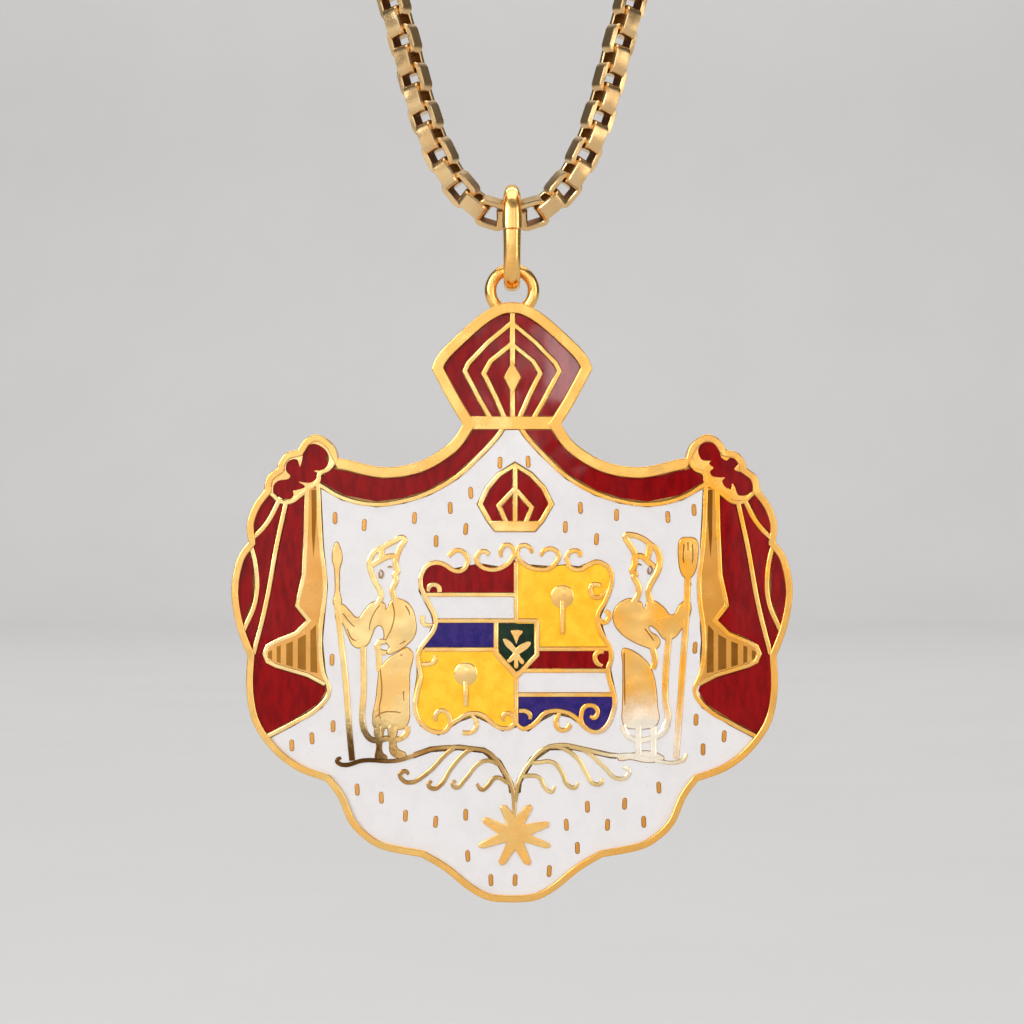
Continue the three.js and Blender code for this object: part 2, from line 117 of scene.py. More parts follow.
# Chain and clasp. Grooves have a place along the clasp and half a width, and leave a share of its radius
LINK_LENGTH = 1.76
LINK_SIDE = 1.66
LINK_STRIP = 0.93
LINK_WALL = 0.31
LINK_CORNER = 0.42
LINK_ROUNDING = 0.05
LINK_PITCH = 1.143
CHAIN_TURN = math.radians(25)
NECK_AXIS = 45
CLASP_LENGTH = 10
CLASP_RADIUS = 1.5
CLASP_ROUNDING = 0.3
CLASP_GROOVES = {-3.0: 0.2, 1.0: 0.1}
GROOVE_SHARE = 0.9

# Shading: edges below this angle are smooth, and faces whose normal points to the front this far are flat
SMOOTH_BELOW = math.radians(35)
FACES_FRONT = 0.9995

# Patterns of gold and enamel: sizes of their cells
CLOUD_SIZE = 2.2
WAVE_SIZE = 1.6
SCRATCH_SIZE = 0.35
GRAIN_SIZE = 0.16
SPECK_SIZE = 0.13

# Painted reflections on the badge's gold, a dark one on the lower left and a pale one on the lower right:
# middle, radius and colour
PAINTED_REFLECTION_PATCHES = [((-152, 452), 3.0, "5e3f1c"), ((132, 438), 3.2, "fff4e0")]

# Studio, in metres
FLOOR_Z = -0.24
WALL_Y = 1.4
SWEEP_SIZE = 4
SWEEP_HEIGHT = 3
SWEEP_BEND = 0.3
BADGE_MIDDLE = Vector((0, -0.127, -0.183))
VIEW_MIDDLE = Vector((0, -0.127, -0.1829))
VIEW_WIDTH = 0.0585
LENS = 100
SENSOR = 36
ROOM_COLOUR = (0.5, 0.5, 0.52, 1)
ROOM_LIGHT = 0.22

# Lamps: place, what they point at, size, power, and colour if it isn't white
LAMPS = {
    "key_left": ((-0.5, -0.6, 0.1), BADGE_MIDDLE, (0.4, 0.4), 3.6),
    "fill_right": ((0.55, -0.55, -0.05), BADGE_MIDDLE, (0.3, 0.5), 1.4, (1, 0.96, 0.9)),
    "front_left_panel": ((-0.27, -1.2, 0.02), BADGE_MIDDLE, (0.6, 0.9), 2.0),
    "front_right_panel": ((0.33, -1.2, 0.02), BADGE_MIDDLE, (0.5, 0.9), 1.6),
    "backdrop_wash": ((0, 0.5, 1.0), (0, WALL_Y, -0.1), (1.6, 0.3), 14),
    "window": ((0.0235, -1.19, -0.115), BADGE_MIDDLE, (0.018, 0.04), 0.07),
    "top": ((0, -0.2, 0.5), BADGE_MIDDLE, (0.7, 0.5), 2.4),
}

# Half of the chain's route: right, back and up from its lowest point
ROUTE = [
    (0, 0, 0), (0.86, 0, 0.1), (1.75, 0, 0.5), (3.05, 0, 1.75), (4.25, 0.05, 3.85), (5.05, 0.1, 6),
    (5.7, 0.2, 8.3), (6.3, 0.3, 10.6), (9, 1, 20), (14.5, 3, 38), (21, 7, 58), (28.5, 13, 79),
    (37, 22, 100), (46, 35, 120), (54, 52, 137), (58.5, 72, 149), (56, 93, 157), (46, 110, 162),
    (31, 121, 165), (15, 126, 166), (5.3, 127, 166),
]
LOWEST = Vector((0, -ROUTE[-1][1], -ROUTE[-1][2]))

# Places for pieces: hung at the chain's lowest point, and turned upright from the drawing plane
HUNG = Matrix.Translation(LOWEST * MM) @ Matrix.Scale(MM, 4)
UPRIGHT = Matrix.Translation(LOWEST * MM) @ Matrix.Rotation(math.pi / 2, 4, "X") @ Matrix.Scale(MM, 4)

# The badge is drawn on squares, counted across from its middle line and down from its peak
SQUARES_ACROSS = 560
SQUARES_DOWN = 596.5

# Left half of the outline, as stretches between corners: first those with the wide rim of crown and swag
WIDE_STRETCHES = [
    [(0, 0), (-13, 2), (-33, 13.5), (-63, 40.5), (-75, 54.5), (-80, 66.5)],
    [(-80, 66.5), (-63, 98.5), (-49, 121.5)],
    [(-49, 121.5), (-63, 140.5), (-93, 158.5), (-128, 163.8), (-163, 156.5), (-173, 155)],
]

NARROW_STRETCHES = [
    [(-173, 155), (-178, 141.5), (-192, 131.5), (-205, 135.5), (-213, 146.5)],
    [(-213, 146.5), (-225, 150), (-232, 159.5), (-233, 164.5)],
    [(-233, 164.5), (-242, 171.5), (-245.5, 179.5), (-246, 186.5)],
    [(-246, 186.5), (-257, 201.5), (-263.5, 220.5), (-262, 238.5)],
    [(-262, 238.5), (-273, 254.5), (-279, 286.5), (-274, 321.5), (-263, 351.5)],
    [(-263, 351.5), (-264, 386.5), (-257, 419.5), (-237, 447.5), (-213, 465.5), (-185, 476)],
    [(-185, 476), (-173, 492.5), (-162, 517.5), (-148, 532.5), (-128, 544), (-90, 551.5)],
    [(-90, 551.5), (-68, 564.5), (-43, 584.5), (-23, 594.5), (0, 596.5)],
]

# Edge of the cone at the foot of the left drape's lining
CONE = [
    (-213.5, 301.5), (-201.5, 316.5), (-215, 329.5), (-235, 337.5), (-243, 342), (-246, 349.5),
    (-243, 357), (-235, 361), (-203, 370.5),
]

# Walls that stand alike on both sides: the left one is given
MIRRORED_CURVED_WALLS = [
    [(-193, 180.5), (-168, 194.5), (-135, 201), (-108, 197.5), (-83, 189.5), (-55, 173.5),
     (-28, 148.5), (-13, 131.5), (-7, 121.5)],
    [(-175, 154.5), (-182, 165.5), (-191, 170.5), (-193, 178.5), (-203, 185.5), (-210, 191.5),
     (-221, 198.5), (-231, 197.5), (-239, 190.5), (-247, 186.5)],
    [(-193, 180.5), (-190, 241.5), (-186, 281.5), (-191, 336.5), (-188, 368.5), (-182, 386.5),
     (-191, 401.5), (-218, 418.5), (-245, 432.5)],
    [(-225, 200.5), (-234, 241.5), (-245, 301.5), (-257, 349.5)],
    [(-230, 194.5), (-245, 221.5), (-261, 237.5)],
    [(-261, 237.5), (-255, 261.5), (-255, 296.5), (-267, 326.5)],
]

MIRRORED_STRAIGHT_WALLS = [
    [(0, 20.5), (-23, 39.5), (-43, 60.5), (-47, 68.5), (-33, 95.5), (-21, 116.5)],
    [(0, 41.5), (-21, 58.5), (-28, 70.5), (-16, 95.5), (-7, 116.5)],
    [(-204, 183.5), (-205, 226.5), (-207, 271.5), (-212, 293.5), *CONE, (-186, 379.5)],
]

# Walls that stand once: the edge of the shield, and the lines that keep their corners
CURVED_WALLS = [
    [(4, 258.5), (-13, 265.5), (-31, 262.5), (-43, 264.5), (-58, 267.5), (-76, 259.5), (-89, 268.5),
     (-90, 286.5), (-78, 309.5), (-76, 318.5), (-80, 330.5), (-92, 346.5), (-92, 371.5),
     (-96.5, 399.5), (-89, 419.5), (-73, 427.5), (-53, 414.5), (-37, 409), (-23, 415.5), (-9, 423.5),
     (4, 419.5)],
    [(4, 258.5), (17, 263.5), (37, 265), (52, 263.5), (67, 265.5), (84, 258.5), (97, 267.5),
     (98, 283.5), (85, 313.5), (90, 331.5), (98, 348.5), (95.5, 364.5), (102, 396.5), (97, 415.5),
     (81, 425.5), (59, 410.5), (42, 406.5), (27, 414.5), (16, 423.5), (4, 419.5)],
]

STRAIGHT_WALLS = [
    [(0.5, 1.5), (0.5, 121.5)],
    [(3, 185.5), (-13, 202.1), (-6, 218.5)],
    [(3, 185.5), (19.5, 204.1), (14, 218.5)],
    [(3, 162.5), (3, 220.5)],
    [(4, 258.5), (4, 316.5)],
    [(4, 372.5), (4, 420.5)],
    [(-88, 290.5), (4, 290.5)],
    [(-76, 316.5), (25, 316.5)],
    [(-87, 345), (-16, 345)],
    [(25, 344.5), (97, 344.5)],
    [(11, 366), (95, 366)],
    [(4, 390), (100, 390)],
    [(-16, 316.5), (-16, 349.5), (4.5, 372), (25, 350.5), (25, 316.5)],
]

CLOSED_WALLS = [
    [(3, 161.5), (-13, 171.5), (-24, 184.5), (-32, 200.5), (-23, 216.5), (-17, 224.5), (23, 224.5),
     (30, 216.5), (39, 200.5), (31, 184.5), (19, 171.5)],
]

# Flat gold figures that keep their corners: drape linings, then crown bands, diamond, star and ball sticks
MIRRORED_FIGURES = [
    [(-205, 184.5), (-192, 184.5), (-187, 286.5), (-191, 318.5), (-190, 356.5), (-185, 379.5),
     *reversed(CONE), (-207, 271.5)],
]

FIGURES = [
    [(-46, 113.5), (46, 113.5), (44, 126.5), (-44, 126.5)],
    [(0.5, 58.5), (9, 74.5), (0.5, 92.5), (-8, 74.5)],
    [(-23, 217.5), (30, 217.5), (23, 228), (-17, 228)],
    [(4, 512), (13, 501), (18, 499), (20.5, 502.5), (12, 519), (31.5, 516), (36.5, 516.5),
     (36.5, 521.5), (18.5, 529.5), (37, 537.5), (38.5, 541), (34, 543), (11.5, 536.5), (19, 556),
     (17, 560), (12, 558), (3, 544), (-6.5, 558), (-11, 560), (-13.5, 556), (-5, 536.5),
     (-28.5, 543), (-33, 542), (-33, 538), (-13.5, 528.5), (-28.5, 518), (-29.5, 513.5), (-25, 511.5),
     (-5, 520), (-12, 503), (-10, 499), (-5.5, 500)],
    [(47.7, 296.5), (52.3, 296.5), (52.3, 329.5), (47.7, 329.5)],
    [(-48.3, 376.5), (-43.7, 376.5), (-43.7, 401.5), (-48.3, 401.5)],
]

# Scrolls round the shield
SCROLLS = [
    [(-63, 252.5), (-61, 250), (-53, 246.5), (-45, 252.5), (-45, 261.5), (-51, 267), (-58, 266.5),
     (-66, 261.5), (-73, 259), (-83, 261), (-89, 268.5), (-91, 279.5), (-88, 289.5), (-83, 299.5),
     (-76, 316.5), (-78, 326.5), (-83, 333.5), (-92, 346.5), (-93.5, 356.5), (-91, 371.5),
     (-95, 391.5), (-96.5, 401.5), (-95, 409.5), (-90, 418.5), (-81, 425.5), (-73, 427.5),
     (-66, 425.5), (-62, 418.5), (-63, 410.5), (-67, 406.5), (-72, 406), (-76, 410.5), (-76, 416.5)],
    [(-62, 419.5), (-53, 414.5), (-46, 410), (-37, 408.5), (-29, 410.5), (-22, 416.5), (-15, 421.5),
     (-9, 423.5), (-2, 422.5), (2, 418.5), (0, 410.5), (-5, 408.5), (-9, 411.5), (-8, 416.5)],
    [(-23, 250.5), (-27, 247.5), (-33, 249.5), (-35.5, 256.5), (-32, 261.5), (-25, 265), (-16, 265.5),
     (-8, 262.5), (-1, 256.5), (2, 249.5), (-1, 242.5), (-7, 241.5), (-11, 246.5), (-11, 253.5)],
    [(5, 252.5), (6, 244.5), (12, 241.5), (18, 244.5), (20, 249.5)],
    [(5, 252.5), (9, 257.5), (17, 263), (27, 265.5), (37, 264.5), (44, 258.5), (46.5, 251.5),
     (43, 246.5), (37, 245), (31, 247.5), (28.5, 252.5)],
    [(68, 252.5), (67, 248.5), (61, 247), (55.5, 250.5), (55, 258.5), (60, 264.5), (68, 265.5),
     (77, 260.5), (84, 258), (92, 260.5), (98, 267.5), (99, 277.5), (93, 296.5), (85, 312.5),
     (89, 329.5), (95, 339.5), (98, 346.5), (98, 356.5), (95.5, 364.5), (100, 386.5), (102, 396.5),
     (100, 408.5), (96, 418.5), (90, 425), (82, 427), (74, 423.5), (67, 416.5), (60, 410.5), (52, 407),
     (42, 406), (32, 409), (25, 416.5), (17, 422.5), (10, 423.5), (4, 418.5)],
    [(75, 424.5), (69.5, 418.5), (69, 409.5), (72, 402.5), (78, 400.5), (83.5, 403), (85, 408.5),
     (82, 413), (77.5, 411.5)],
    [(-89, 311.5), (-89, 317.5), (-85, 321), (-79, 320.5)],
    [(-90, 359.5), (-83, 359.5), (-77, 356.5), (-77, 350.5)],
    [(-49, 427.5), (-43, 428), (-37, 424.5), (-35.5, 417.5), (-40, 410)],
    [(-72, 288), (-73, 283), (-77.5, 280.5), (-82, 282.5), (-83.5, 287.5)],
    [(7, 406), (14, 406.5), (18, 410.5), (18, 414.5)],
    [(58, 419.5), (54, 424.5), (48, 425), (44, 420.5), (44.5, 413.5), (48, 408)],
    [(88, 281.5), (81, 280.5), (78, 284.5), (79, 290.5), (84, 293.5), (91, 290.5), (95, 285.5)],
    [(87, 315.5), (91, 318.5), (96, 314.5), (96, 309), (92.5, 306.5)],
    [(91, 347), (85.5, 348), (82.5, 352.5), (84.5, 358.5), (90, 361.5)],
]

# Two branches with their curls
BRANCHES = [
    [(3, 511.5), (-1, 479.5), (-8, 466.5), (-16, 454.5), (-25, 446.5), (-38, 443.5), (-68, 442.5),
     (-81, 444.5), (-93, 448.5), (-103, 452.5), (-118, 456), (-148, 455.5), (-166, 460), (-172, 458.5),
     (-174, 455.5), (-170, 452.5)],
    [(3, 496.5), (7, 476), (18, 457.5), (31, 444.5), (48, 440), (70, 443.5), (98, 450.1), (122, 450.1),
     (135, 453.5), (170, 455), (174, 448.5)],
    [(-3, 478.5), (-16, 472.5), (-25, 481.5), (-30, 484.5), (-35, 478.5)],
    [(-13, 459.5), (-23, 455.5), (-33, 458.5), (-47, 474.5), (-56, 482.5), (-59, 478.5), (-56, 475.5)],
    [(-38, 443.5), (-46, 447.5), (-60, 462.5), (-73, 481.5), (-79, 483.5), (-83, 479.5), (-80, 475.5)],
    [(-57, 442.5), (-65, 448.5), (-85, 468.5), (-103, 477.5), (-110, 473.5), (-111, 468.5),
     (-105, 466.5), (-103, 469.5)],
    [(10, 471.5), (17, 470.5), (27, 472.5), (32, 481.5), (39, 486.5), (42.5, 481.5)],
    [(18, 457.5), (24, 457.5), (41, 457.5), (50, 468.5), (55, 479.5), (62, 482.5), (66, 477.5)],
    [(37, 441.5), (48, 442.5), (65, 453.5), (74, 468.5), (81, 478.5), (89, 477.5), (89, 473.5)],
    [(57, 441.5), (72, 445.5), (91, 461.5), (105, 473.5), (115, 470.5), (115.5, 464), (110, 462.5)],
]

# Lines of the two supporters: hat, brow, cheek, sleeve, staff and hem
SUPPORTER_LINES = [
    [(-116, 259.5), (-114.5, 252.5), (-111, 243.5), (-107.5, 234.8), (-118, 238), (-129, 244),
     (-137, 248.5), (-141, 255.5), (-141.5, 262.5), (-139, 271.5), (-135.5, 279.5), (-131.5, 286.5),
     (-130.5, 293.5), (-134, 300.5)],
    [(-139.5, 261.5), (-129, 255.5), (-122, 252.5), (-115.5, 252.5)],
    [(-129, 244.5), (-130.5, 255.5)],
    [(-116, 257.5), (-115.5, 263.5), (-114, 268), (-116.5, 270.5), (-115.5, 274.5), (-116.5, 279.5),
     (-118.7, 284.5), (-118.5, 290.5), (-115, 297.5)],
    [(-125, 348.5), (-132, 346.5), (-134, 341.5), (-131, 337.5), (-126, 337.5)],
    [(-133, 344.5), (-132.5, 352.5), (-132, 366.5)],
    [(-174.2, 300.5), (-172, 318.5), (-169.5, 341.5), (-165.5, 376.5), (-162.5, 418.5), (-159, 455.5)],
    [(-148, 342.5), (-147.5, 386.5), (-149, 416.5), (-147, 426.5)],
    [(-148.5, 418.5), (-146, 427.5), (-140, 434.5), (-133, 435.5), (-125, 433.5), (-118, 434.5),
     (-111, 433.5), (-105, 428.5), (-104, 421.5)],
    [(-133, 421.5), (-132, 436.5)],
    [(-118.5, 421.5), (-118.5, 436.5)],
    [(122, 256.5), (121.5, 248.5), (116.5, 240.5), (113.3, 232.1), (119, 231.3), (128, 234),
     (137, 240), (144, 246.5), (146.5, 253.5), (146.5, 261.5), (144, 269.5), (140, 276.5),
     (136.5, 283.5), (135.5, 290.5), (139, 299.5)],
    [(122, 252.5), (129, 252.5), (135, 257.5), (142, 263.5)],
    [(137, 240.5), (136, 248.5), (134, 256.5)],
    [(122.5, 256.5), (121.5, 262.5), (119.5, 267.5), (122.5, 270), (121.5, 273.5), (123.5, 277.5),
     (125.7, 282.5), (125.5, 290.5), (121, 298.5)],
    [(140, 344.5), (142, 356.5), (140, 364.5)],
    [(156, 330.5), (154.5, 346.5), (152.7, 371.5), (152.5, 396.5), (155, 414.5), (151, 423.5)],
    [(174.7, 274.5), (173.5, 306.5), (171.5, 336.5), (168, 386.5), (163, 453.5)],
    [(125.7, 421.5), (125.7, 450.5)],
    [(140.7, 421.5), (140.7, 450.5)],
    [(110, 420.5), (113, 428.5), (121, 434.5), (127, 435.5), (133, 434.5), (141, 432.5), (150, 427.5),
     (155, 418.5)],
]

# Flat parts of the supporters, rounded: cloak, tunic, spear, legs and feet, and the paddle
SUPPORTERS = [
    [(-133, 297.5), (-127, 299.5), (-124.5, 305), (-122, 299.5), (-117, 295), (-110, 295.5),
     (-102, 300.5), (-96, 316.5), (-96.5, 330.5), (-104, 340), (-115, 347), (-124, 349), (-122, 342.5),
     (-127, 336.5), (-127.5, 327.5), (-131, 321.5), (-135, 322.5), (-139, 330.5), (-144, 340.5),
     (-151, 343.5), (-156.5, 342.5), (-164, 329.5), (-169, 318.5), (-174.5, 315.5), (-175.5, 308.5),
     (-173, 300), (-168, 300.5), (-161, 307.5), (-153, 313.5), (-147, 306.5), (-139, 298.5)],
    [(-102.5, 344), (-102, 371.5), (-102.5, 396.5), (-103.5, 418.5), (-109, 424), (-121, 423),
     (-136, 423.5), (-138.5, 414.5), (-135.5, 396.5), (-133.5, 378.5), (-131, 364.5), (-123, 354.5),
     (-113, 348)],
    [(-174.5, 238.5), (-171.5, 243), (-169.4, 249.5), (-169.2, 256.5), (-171, 263.5), (-171.8, 271.5),
     (-171.7, 286.5), (-171.4, 302.5), (-176, 302.5), (-175.7, 286.5), (-176, 271.5), (-176.7, 263.5),
     (-178.5, 256.5), (-178.5, 249.5), (-177, 243)],
    [(-134.5, 420.5), (-129, 420.5), (-129, 434.5), (-129, 447.5), (-124.5, 452.5), (-127, 456.5),
     (-134.5, 456), (-134.5, 441.5)],
    [(-121.5, 420.5), (-115.5, 420.5), (-115.2, 434.5), (-114, 443.5), (-105.5, 449.5), (-108, 453.5),
     (-116, 452), (-120.5, 448.5), (-121.5, 436.5)],
    [(124, 296.5), (128.5, 298.5), (131.5, 304.5), (134, 298.5), (138, 296.5), (144, 298),
     (151, 303.5), (159, 311), (168, 299.5), (175, 297), (178, 303.5), (175, 314.5), (170, 322.5),
     (161, 333.5), (153, 335.5), (142, 324), (136.5, 322), (137, 326.5), (145, 332.5), (147, 339.5),
     (142, 345), (134, 343), (119, 336.5), (107, 327.5), (101, 316.5), (102, 305.5), (109, 297.5),
     (119, 294.5)],
    [(110.6, 344.5), (113, 344.1), (121, 347), (129, 352.5), (135.5, 359.5), (140.5, 370.5),
     (143.5, 386.5), (144.5, 402.5), (146, 414.5), (142, 421.5), (133, 424), (123, 424), (114, 422.5),
     (110.3, 417.5), (110, 402.5), (110.3, 386.5), (110.3, 361.5)],
    [(169, 234.5), (175, 233.8), (181, 234.5), (184, 237.5), (185, 243.5), (184, 258.5),
     (182.5, 266.5), (179.5, 272), (177, 274.5), (177, 282.5), (172.5, 282.5), (172.5, 274.5),
     (170, 272), (167.5, 266.5), (166, 258.5), (165.5, 243.5), (166.5, 237.5)],
    [(105, 453), (115, 449.5), (123, 447.5), (132, 446), (141, 447.5), (148, 450), (151, 453.5),
     (142, 457), (132, 457), (119, 454.5)],
]

# Engraved lines on the flat gold
ENGRAVED = [
    [(-106, 301.5), (-102.5, 307.5), (-101.5, 313.5)],
    [(-119, 298.5), (-117, 308.5), (-119, 321.5), (-124, 332.5), (-129, 340.5)],
    [(-132, 301.5), (-137, 308.5), (-141, 318.5), (-142, 330.5)],
    [(-168, 309.5), (-161, 318.5), (-153, 325.5)],
    [(-164, 324.5), (-159, 334.5), (-152, 337.5)],
    [(-131, 364.5), (-129.5, 386.5), (-132, 408.5), (-129, 418.5)],
    [(-136, 412.5), (-129, 408), (-118, 407), (-105, 409)],
    [(-106, 336.5), (-115, 342)],
    [(-111, 350.5), (-108, 351.5)],
    [(-108, 386.5), (-107, 402.5)],
    [(171, 240.5), (170.5, 256.5), (173, 263.5)],
    [(175, 238.5), (175, 262.5)],
    [(179.5, 240.5), (179.5, 256.5), (177.5, 263.5)],
    [(-131, 266), (-128.7, 268), (-129, 272.5), (-131, 274), (-132.2, 271), (-132, 267.7)],
    [(-123.5, 263.5), (-121.3, 262.7), (-119.2, 263.5)],
    [(137, 262), (139, 264), (138.3, 268.5), (136.3, 270), (135.2, 267), (135.7, 263.5)],
    [(128.5, 261.3), (126.3, 260.3), (124.3, 261.3)],
    [(132, 324.5), (139, 333.5), (143, 339.5)],
    [(111.5, 348.5), (112, 386.5), (113, 418.5)],
]

# Knots: the left one's gold from rim to mantle, and the red part of each
KNOT_EDGE = [
    (-176, 155), (-180, 144), (-192, 135), (-203, 138), (-211, 149), (-223, 153), (-229, 161),
    (-239, 174), (-243, 187), (-231, 197), (-221, 198), (-210, 191), (-203, 185), (-193, 178),
    (-190, 171), (-182, 165.5),
]
KNOTS = [
    [(-208, 149), (-203, 142.5), (-195.5, 141), (-187, 145.5), (-182.5, 152.5), (-183, 161.5),
     (-188, 166.5), (-196.5, 167.5), (-192.5, 171), (-195.5, 176.5), (-202, 179.5), (-212, 178.5),
     (-205.5, 183.5), (-214, 186.5), (-217.5, 187.5), (-217.5, 193.5), (-223, 196), (-232, 196),
     (-237, 190.5), (-237, 182.5), (-232, 177.5), (-223, 176), (-220.5, 172.5), (-225, 166.5),
     (-223, 159), (-217.5, 156), (-213, 157.5), (-211, 164), (-208.5, 156.5)],
    [(185, 146.5), (188, 141.5), (194.5, 139), (202, 141.5), (206, 147.5), (208, 154), (213, 157.5),
     (217, 154.5), (221, 152.5), (224.5, 155.5), (224.5, 161.5), (221, 166.5), (228, 169),
     (236, 170.5), (241, 175.5), (241.5, 182.5), (238, 189), (231, 192), (224.5, 191), (222, 184.5),
     (219, 180), (218, 185.5), (213, 184), (209, 178.5), (212, 174), (206, 174), (199, 172.5),
     (197, 168.5), (200.5, 164.5), (196, 160.5), (198, 157.5), (190, 157), (186, 152.5)],
]

# Slots of the left drape lining, flat dark plates in the painted shade of sunk folds: the long fold and
# the cone
LINING_SLOTS = [
    [(-199.5, 186.5), (-194.5, 186.5), (-194.5, 211.5), (-196, 236.5), (-197.5, 254.5), (-199, 231.5)],
    [(-242.5, 347.5), (-238.5, 345.5), (-238.5, 355.5), (-242.5, 353.5)],
    [(-234, 342.5), (-230, 341), (-230, 359), (-234, 357.5)],
    [(-224.5, 339.5), (-218, 337), (-218, 362.5), (-224.5, 360.5)],
    [(-213, 334.5), (-205, 330), (-205, 366), (-213, 364)],
    [(-200.5, 326.5), (-195, 320.5), (-193.5, 368.5), (-200.5, 367.5)],
]

# Sprig on the middle shield, rounded: bloom, two leaves and a root
SPRIG = [
    [(-0.9, 326.9), (2, 325.8), (4.9, 325.7), (7.8, 326.1), (10.7, 327.2), (7.5, 332), (5.4, 337),
     (4.3, 339.5), (3.2, 337), (1, 331.8)],
    [(-8.8, 335.3), (-7.2, 334.4), (-4.2, 335.3), (-1.3, 337.3), (1.6, 341), (4.5, 344.5), (8, 351.5),
     (12, 357.5), (11.5, 359.5), (9.3, 359.7), (5.5, 354.5), (2, 349.8), (-2, 345.7), (-6, 342),
     (-8, 338.5)],
    [(18.3, 337.8), (18.6, 340), (17, 342.5), (13.5, 345.7), (8.5, 349), (5, 352), (-1.5, 358),
     (-3.5, 358.2), (-5, 356), (-3.8, 354.8), (1, 349), (4.3, 344), (8, 340.5), (12, 338.5),
     (15.8, 337.3)],
    [(2.4, 348.5), (2, 357.5), (2, 362), (3.3, 364), (5.3, 363.8), (6.3, 361.5), (6, 357.5),
     (5.8, 348.5)],
]

# Middles of the tufts on the white ground
TUFTS = [
    (-176, 214.5), (-147, 221.5), (-97, 214.5), (-61.5, 204.5), (-41, 189.5), (-75.5, 237.5),
    (-46, 225.5), (-12, 159.5), (16, 158.5), (68, 204.5), (53, 223.5), (84, 235.5), (104, 211.5),
    (155, 213.5), (181, 206.5), (-179, 355.5), (182, 343.5), (-178, 421.5), (-199, 433.5),
    (-219, 440.5), (183, 415), (211, 431.5), (190, 444.5), (-154, 484.5), (-130, 492.5),
    (-106, 510.5), (-76, 516.5), (-46, 509.5), (-44, 550.5), (-21, 574.5), (3, 574.5), (37, 565.5),
    (65, 542.5), (54, 519.5), (75, 501.5), (95, 519.5), (112, 498.5), (131, 516.5), (146, 482.5),
]

# Middles of the balls, and white ground that fills the pockets round the supporters and the star
BALLS = [(50, 292.5), (-46, 369.5)]
POCKETS = [
    [(-181, 228), (-98, 228), (-98, 300), (-93, 305), (-93, 340), (-98, 345), (-98, 462), (-181, 462)],
    [(-46, 488), (50, 488), (50, 566), (-46, 566)],
    [(99, 228), (187, 228), (187, 462), (104, 462), (104, 350), (99, 345)],
]

# Fields of the shield: left, right, top and bottom
SHIELD_FIELDS = {
    "field_upper_red": (-100, 4, 240, 290.5), "field_upper_white": (-100, 4, 290.5, 316.5),
    "field_left_blue": (-100, -16, 316.5, 345), "field_left_yellow": (-100, 4, 345, 430),
    "field_right_yellow": (4, 110, 240, 344.5), "field_right_red": (20, 110, 344.5, 366),
    "field_lower_white": (4, 110, 366, 390), "field_right_blue": (4, 110, 390, 430),
}


def square(point):
    """A place on the badge's squares, in millimetres."""
    across = point[0] / SQUARES_ACROSS * BADGE_WIDTH
    down = point[1] / SQUARES_DOWN * BADGE_HEIGHT
    return Vector((across, PEAK_Z - down, 0))


def mirrored(points):
    return [(-x, y) for x, y in points]


def both(lists):
    return lists + [mirrored(points) for points in lists]


def arc(steps):
    """Angles over half a turn."""
    return [math.pi * i / steps for i in range(steps + 1)]


def rounded(points, steps=6):
    """More points along a smooth line through these ones."""
    line = [Vector(points[0])]
    last = len(points) - 1
    for i in range(last):
        nearby = (Vector(points[min(max(j, 0), last)]) for j in range(i - 1, i + 3))
        before, start, end, after = nearby
        for step in range(1, steps + 1):
            t = step / steps
            bend = (2 * before - 5 * start + 4 * end - after) * t**2
            twist = (3 * start - before - 3 * end + after) * t**3
            line.append(0.5 * (2 * start + (end - before) * t + bend + twist))
    return line


# Modelling


def mode(name):
    bpy.ops.object.mode_set(mode=name)


def added(name):
    """The object just added, now with a name."""
    obj = bpy.context.object
    obj.name = name
    return obj


def deselect():
    if bpy.context.object and bpy.context.object.mode == "EDIT":
        mode("OBJECT")
    bpy.ops.object.select_all(action="DESELECT")


def pick(*objects):
    deselect()
    for obj in objects:
        obj.select_set(True)
    bpy.context.view_layer.objects.active = objects[0]


def remove(obj):
    pick(obj)
    bpy.ops.object.delete()


def empty_curve(name, flat):
    deselect()
    bpy.ops.curve.primitive_bezier_curve_add(location=(0, 0, 0))
    curve = added(name)
    curve.data.splines.clear()
    curve.data.dimensions = "2D" if flat else "3D"
    curve.data.resolution_u = 5
    return curve


def add_spline(curve, points, closed=False, smooth=False):
    """A spline through points in the curve's own plane. A smooth one is rounded at every point."""
    spline = curve.data.splines.new("BEZIER")
    spline.bezier_points.add(len(points) - 1)
    kind = "AUTO" if smooth else "VECTOR"
    for bezier, point in zip(spline.bezier_points, points):
        bezier.co = Vector((*point, 0)[:3])
        bezier.handle_left_type = kind
        bezier.handle_right_type = kind
    spline.use_cyclic_u = closed
    spline.resolution_u = 5 if smooth else 1
    return spline


def as_mesh(curve):
    pick(curve)
    bpy.ops.object.convert(target="MESH")
    return bpy.context.object


def swept(curve, section):
    """The mesh of a curve with the section run along it."""
    curve.data.bevel_mode = "OBJECT"
    curve.data.bevel_object = section
    curve.data.use_fill_caps = True
    mesh = as_mesh(curve)
    remove(section)
    return mesh


def put(obj, place):
    """Moves a finished piece's mesh to its place in the frame, and cleans it."""
    obj.data.transform(place @ obj.matrix_basis)
    obj.matrix_basis = Matrix.Identity(4)
    pick(obj)
    mode("EDIT")
    bpy.ops.mesh.select_all(action="SELECT")
    bpy.ops.mesh.remove_doubles(threshold=1e-6)
    bpy.ops.mesh.normals_make_consistent(inside=False)
    mode("OBJECT")
    bpy.ops.object.shade_smooth_by_angle(angle=SMOOTH_BELOW)
    for face in obj.data.polygons:
        if abs(face.normal.y) > FACES_FRONT:
            face.use_smooth = False


def join(name, pieces):
    pick(*pieces)
    bpy.ops.object.join()
    return added(name)


